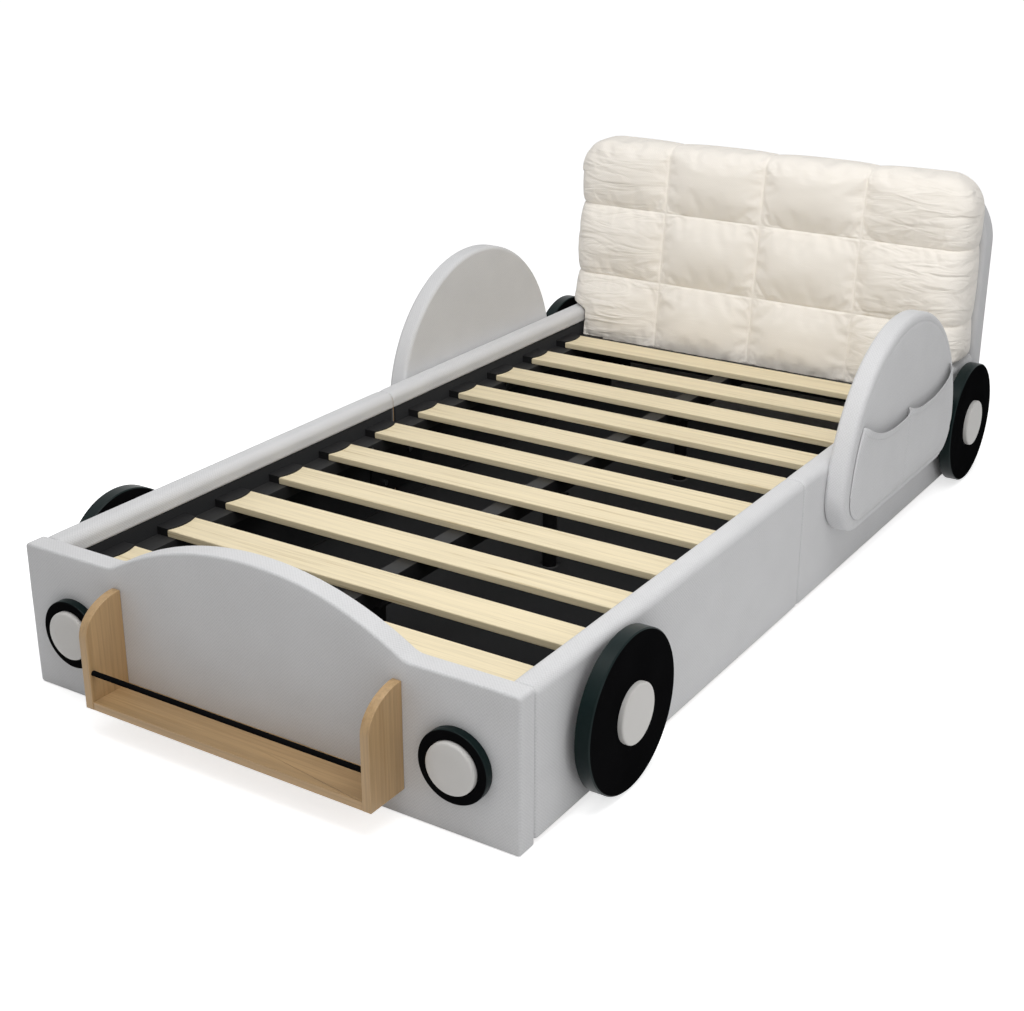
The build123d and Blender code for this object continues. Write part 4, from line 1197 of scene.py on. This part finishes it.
class BED_OT_headlights(Operator):
    """Headlights: a turned ring with a bevelled lip, and a lens with a low dome"""

    bl_idname = "bed.headlights"
    bl_label = "Headlights"

    def execute(self, context):
        for side_name, side in SIDES.items():
            node = f"headlight_ring_{side_name}"
            x, _, z = middle_mm(node)
            radius = (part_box(node)[1][2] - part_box(node)[0][2]) / 2 / MM
            lip = [(0, 0.2), (radius - 0.4, 0.2), (radius, 1), (radius, 17), (49.4, 17), (48.6, 12), (0, 12)]
            ring = rounded(lip, 2.2, 6)
            at = int(np.argmax(ring[:, 0] > radius - 1.2))
            last = len(ring) - int(np.argmax(ring[::-1, 0] > radius - 1.2))
            place = (x, FOOT_FACE, z)
            # The lip's outer rim takes the finish with the painted teal reflection
            disc_piece(f"{node}_lip", ring, BLACK_DISC, node, place, (0, -1), (at, last))
            dome = rounded([(0, 12.2), (47.6, 12.2), (48, 13), (48, 25.2), (30, 27.6), (0, 28)], 5, 10)
            lens = f"headlight_lens_{side_name}"
            disc_piece(f"{lens}_dome", dome, ["light_abs"], lens, place, (0, -1))
        return {"FINISHED"}


class BED_OT_shelf(Operator):
    """Shelf: side boards with a quarter-ellipse shoulder and a plain board between, all with eased edges"""

    bl_idname = "bed.shelf"
    bl_label = "Shelf"

    def execute(self, context):
        low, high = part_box("shelf_side_right")
        inner, outer = low[0] / MM, high[0] / MM
        bottom, top = low[2] / MM, high[2] / MM
        depth, rise = FOOT_FACE - SHELF_FRONT, 66.0
        angle = np.radians(np.linspace(90, 180, 40))
        shoulder = np.stack([FOOT_FACE + depth * np.cos(angle), top - rise + rise * np.sin(angle)], 1)
        loop = np.concatenate([
            arc((FOOT_FACE - 2.2, bottom + 2), 2, -90, 0, 4),
            line((FOOT_FACE - 0.2, bottom + 2), (FOOT_FACE - 0.2, top - 3), 30),
            arc((FOOT_FACE - 3.2, top - 3.2), 3, 0, 90, 4), shoulder[3:-1],
            line((SHELF_FRONT, top - rise), (SHELF_FRONT, bottom + 2), 24),
            arc((SHELF_FRONT + 2, bottom + 2), 2, 180, 270, 4),
            line((SHELF_FRONT + 2, bottom), (FOOT_FACE - 2.2, bottom), 16),
        ])
        for side_name, side in SIDES.items():
            node = f"shelf_side_{side_name}"
            grid = slab(loop, np.array([SHELF_FRONT + 50, 140.0]), inner, outer, 1.5, 1.5, rings=8)
            skin = patch(facing_side(grid, side), True)
            make_piece(f"{node}_board", [skin], [material("oak_upright")], [node])
        low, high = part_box("shelf_board")
        half, base, upper = high[0] / MM, low[2] / MM, high[2] / MM
        side, front, rear = half - 0.6, SHELF_FRONT + 2, FOOT_FACE - 1
        board = np.concatenate([
            arc((side, front), 0.6, -90, 0, 2), line((half, front + 0.6), (half, rear), 8),
            arc((side, rear), 0.6, 0, 90, 2), line((side, rear + 0.6), (-side, rear + 0.6), 40),
            arc((-side, rear), 0.6, 90, 180, 2), line((-half, rear), (-half, front + 0.6), 8),
            arc((-side, front), 0.6, 180, 270, 2), line((-side, front - 0.6), (side, front - 0.6), 40),
        ])
        grid = slab(board, np.array([0, (SHELF_FRONT + FOOT_FACE) / 2]), base, upper, 0.5, 0.5, rings=6)
        skin = patch(grid[..., [0, 2, 1]], True)
        make_piece("shelf_board_eased", [skin], [material("oak_across")], ["shelf_board"])
        return {"FINISHED"}


class BED_OT_slats(Operator):
    """Slats: a rounded cross-section carried along, whose ends are hollowed by the arc of the holder's nose"""

    bl_idname = "bed.slats"
    bl_label = "Slats"

    def execute(self, context):
        for number in range(1, 12):
            node = f"slat_{number:02d}"
            low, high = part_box(node)
            y, half = (low[1] + high[1]) / 2 / MM, high[0] / MM
            width, bottom, top = (high[1] - low[1]) / MM, low[2] / MM, high[2] / MM
            sag = 9.0
            radius = (width**2 / 4 + sag**2) / (2 * sag)
            section = rounded_outline(
                ((width / 2 - 1, bottom + 1), 1, 3, 3), ((width / 2 - 2.4, top - 2.4), 2.4, 6, 16),
                ((2.4 - width / 2, top - 2.4), 2.4, 6, 3), ((1 - width / 2, bottom + 1), 1, 3, 16)
            )
            reach = half - sag + radius - np.sqrt(radius**2 - np.clip(section[:, 0], -width / 2, width / 2) ** 2)
            from_end = np.array([0, 0.4, 1.0, 2.0, 5.0])
            easing = np.array([1.2, 0.5, 0.1, 0, 0])
            share = np.linspace(-1, 1, 16)[1:-1]
            x = np.concatenate([
                -reach[None] + from_end[:, None], share[:, None] * (reach - 12)[None],
                reach[None] - from_end[::-1, None]
            ])
            drawn = np.concatenate([easing, np.zeros(len(share)), easing[::-1]])
            centre = (bottom + top) / 2
            tall = section[:, 1] - centre
            z = centre + np.sign(tall)[None] * np.maximum(np.abs(tall)[None] - drawn[:, None], 0.4)
            grid = np.stack([x, np.broadcast_to(y + section[:, 0], x.shape), z], -1)
            shut = grid[[0, -1]].copy()
            shut[..., 2] = centre
            grid = np.concatenate([shut[:1], grid, shut[1:]])
            make_piece(f"{node}_board", [patch(grid, True)], [material("birch")], [node], sharp=50)
        return {"FINISHED"}


CARRIED = {
    "stained_wood": ("ledger_left", "ledger_right"),
    "matt_black": ("slat_holders", "leg_glides"),
    "satin_lacquer": ("shelf_rod",),
    "powder_coat": (
        "support_frame", "centre_leg_1", "centre_leg_2", "centre_leg_3", "corner_brackets", "rail_joint_plates"
    ),
    "zinc": ("bolts",),
}


class BED_OT_frame_parts(Operator):
    """Finishes for the frame's own boards, ledgers, holders, steel and bolts, whose CAD shapes stay"""

    bl_idname = "bed.frame_parts"
    bl_label = "Frame Parts"

    def execute(self, context):
        finish = {name: kind for kind, names in CARRIED.items() for name in names}
        finish.update((name, "fibreboard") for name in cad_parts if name.endswith("_core"))
        for name, kind in finish.items():
            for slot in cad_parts[name].material_slots:
                slot.material = material(kind)
        return {"FINISHED"}


class BED_OT_studio(Operator):
    """Studio: a white floor, even sky, a soft lamp over the bed, a side lamp and the camera"""

    bl_idname = "bed.studio"
    bl_label = "Studio"

    def execute(self, context):
        scene = context.scene
        settings = look().studio
        data = bpy.data.cameras.new("bed_camera")
        data.lens, data.sensor_width = settings.lens, 36.0
        data.clip_end = 60.0
        camera = bpy.data.objects.new("bed_camera", data)
        camera.location = settings.place
        camera.rotation_euler = (math.pi / 2 - settings.pitch, 0, settings.yaw)
        scene.collection.objects.link(camera)
        scene.camera = camera

        points = np.array([[[-20.0, -20.0, 0.0], [20.0, -20.0, 0.0]], [[-20.0, 20.0, 0.0], [20.0, 20.0, 0.0]]]) / MM
        vertices, faces, _ = patch(points)
        mesh = bpy.data.meshes.new("studio_floor")
        mesh.from_pydata((vertices * MM).tolist(), [], faces.tolist())
        floor = bpy.data.objects.new("studio_floor", mesh)
        mesh.materials.append(paper_floor())
        scene.collection.objects.link(floor)

        lamps = (
            ("key_lamp", (0.5, -0.75, 2.6), (0.0, 0.5, 0.35), 2.4, settings.key),
            ("side_lamp", (3.2, -2.0, 2.0), (0.2, 0.0, 0.2), 2.0, settings.fill),
        )
        for name, place, aim, size, power in lamps:
            lamp = bpy.data.lights.new(name, "AREA")
            lamp.shape, lamp.size, lamp.energy = "DISK", size, power
            holder = bpy.data.objects.new(name, lamp)
            holder.location = place
            way = np.array(aim) - np.array(place)
            tip = math.acos(-way[2] / np.linalg.norm(way))
            holder.rotation_euler = (tip, 0, math.atan2(way[1], way[0]) - math.pi / 2)
            scene.collection.objects.link(holder)

        world = bpy.data.worlds.new("studio_sky")
        world.use_nodes = True
        tree = world.node_tree
        tree.nodes.clear()
        even = add(tree, "ShaderNodeBackground", {"Color": (1, 1, 1, 1), "Strength": settings.sky})
        white = add(tree, "ShaderNodeBackground", {"Color": (1, 1, 1, 1), "Strength": 1.0})
        both = add(tree, "ShaderNodeMixShader", {0: seen_rays(tree), 1: even.outputs[0], 2: white.outputs[0]})
        add(tree, "ShaderNodeOutputWorld", {"Surface": both.outputs[0]})
        scene.world = world
        scene.view_settings.view_transform = "Standard"
        return {"FINISHED"}


def seen_rays(tree):
    """1 for rays from the camera, and for those that metal or glass sends on, else 0."""
    path = add(tree, "ShaderNodeLightPath").outputs
    seen = path["Is Camera Ray"]
    for kind in ("Is Glossy Ray", "Is Transmission Ray"):
        seen = add(tree, "ShaderNodeMath", {0: seen, 1: path[kind]}, operation="MAXIMUM").outputs[0]
    return seen


def paper_floor():
    """White studio paper: matt, and lifted to white where the camera sees it, so that only the shadow shows."""
    paper, tree, shader = start_material("white_studio_paper", (0.8, 0.8, 0.8))
    place = add(tree, "ShaderNodeTexCoord").outputs["Object"]
    fibre = add(tree, "ShaderNodeTexNoise", {"Vector": place, "Scale": 90.0, "Detail": 3.0})
    tint = add(
        tree, "ShaderNodeValToRGB", {"Fac": fibre.outputs["Fac"]},
        [(0.3, (0.80, 0.80, 0.80, 1)), (0.7, (0.82, 0.82, 0.82, 1))]
    )
    set_inputs(tree, shader, {"Base Color": tint.outputs["Color"], "Roughness": 0.95, "Specular IOR Level": 0.1})
    lift = add(tree, "ShaderNodeMath", {0: seen_rays(tree), 1: 0.68}, operation="MULTIPLY")
    glow = add(tree, "ShaderNodeEmission", {"Color": (1, 1, 1, 1), "Strength": lift.outputs[0]})
    total = add(tree, "ShaderNodeAddShader", {0: shader.outputs[0], 1: glow.outputs[0]})
    out = next(n for n in tree.nodes if n.bl_idname == "ShaderNodeOutputMaterial")
    tree.links.new(total.outputs[0], out.inputs["Surface"])
    return paper


class BED_PT_sidebar(Panel):
    """The bed's pieces in the order they are made"""

    bl_idname = "BED_PT_sidebar"
    bl_label = "Storage Bed"
    bl_space_type = "VIEW_3D"
    bl_region_type = "UI"
    bl_category = "Bed"

    def draw(self, context):
        for operator in OPERATORS:
            self.layout.operator(operator.bl_idname)


OPERATORS = (
    BED_OT_footboard, BED_OT_rails, BED_OT_linings, BED_OT_backboard, BED_OT_side_panels, BED_OT_pockets,
    BED_OT_cushion, BED_OT_base_cloth, BED_OT_wheels, BED_OT_headlights, BED_OT_shelf, BED_OT_slats,
    BED_OT_frame_parts, BED_OT_studio,
)
SETTINGS = (ClothLook, CoverShape, CushionShape, WoodLook, WheelLook, StudioLook, BedLook)
CLASSES = (*SETTINGS, *OPERATORS, BED_PT_sidebar)


def register():
    for made in CLASSES:
        bpy.utils.register_class(made)
    bpy.types.Scene.bed_look = PointerProperty(type=BedLook)


def unregister():
    del bpy.types.Scene.bed_look
    for made in reversed(CLASSES):
        bpy.utils.unregister_class(made)


def main():
    """Registers the bed's classes and makes every piece in order."""
    register()
    for operator in OPERATORS:
        group, name = operator.bl_idname.split(".")
        if getattr(getattr(bpy.ops, group), name)() != {"FINISHED"}:
            raise RuntimeError(f"{operator.bl_label} didn't finish")


if __name__ == "__main__":
    main()
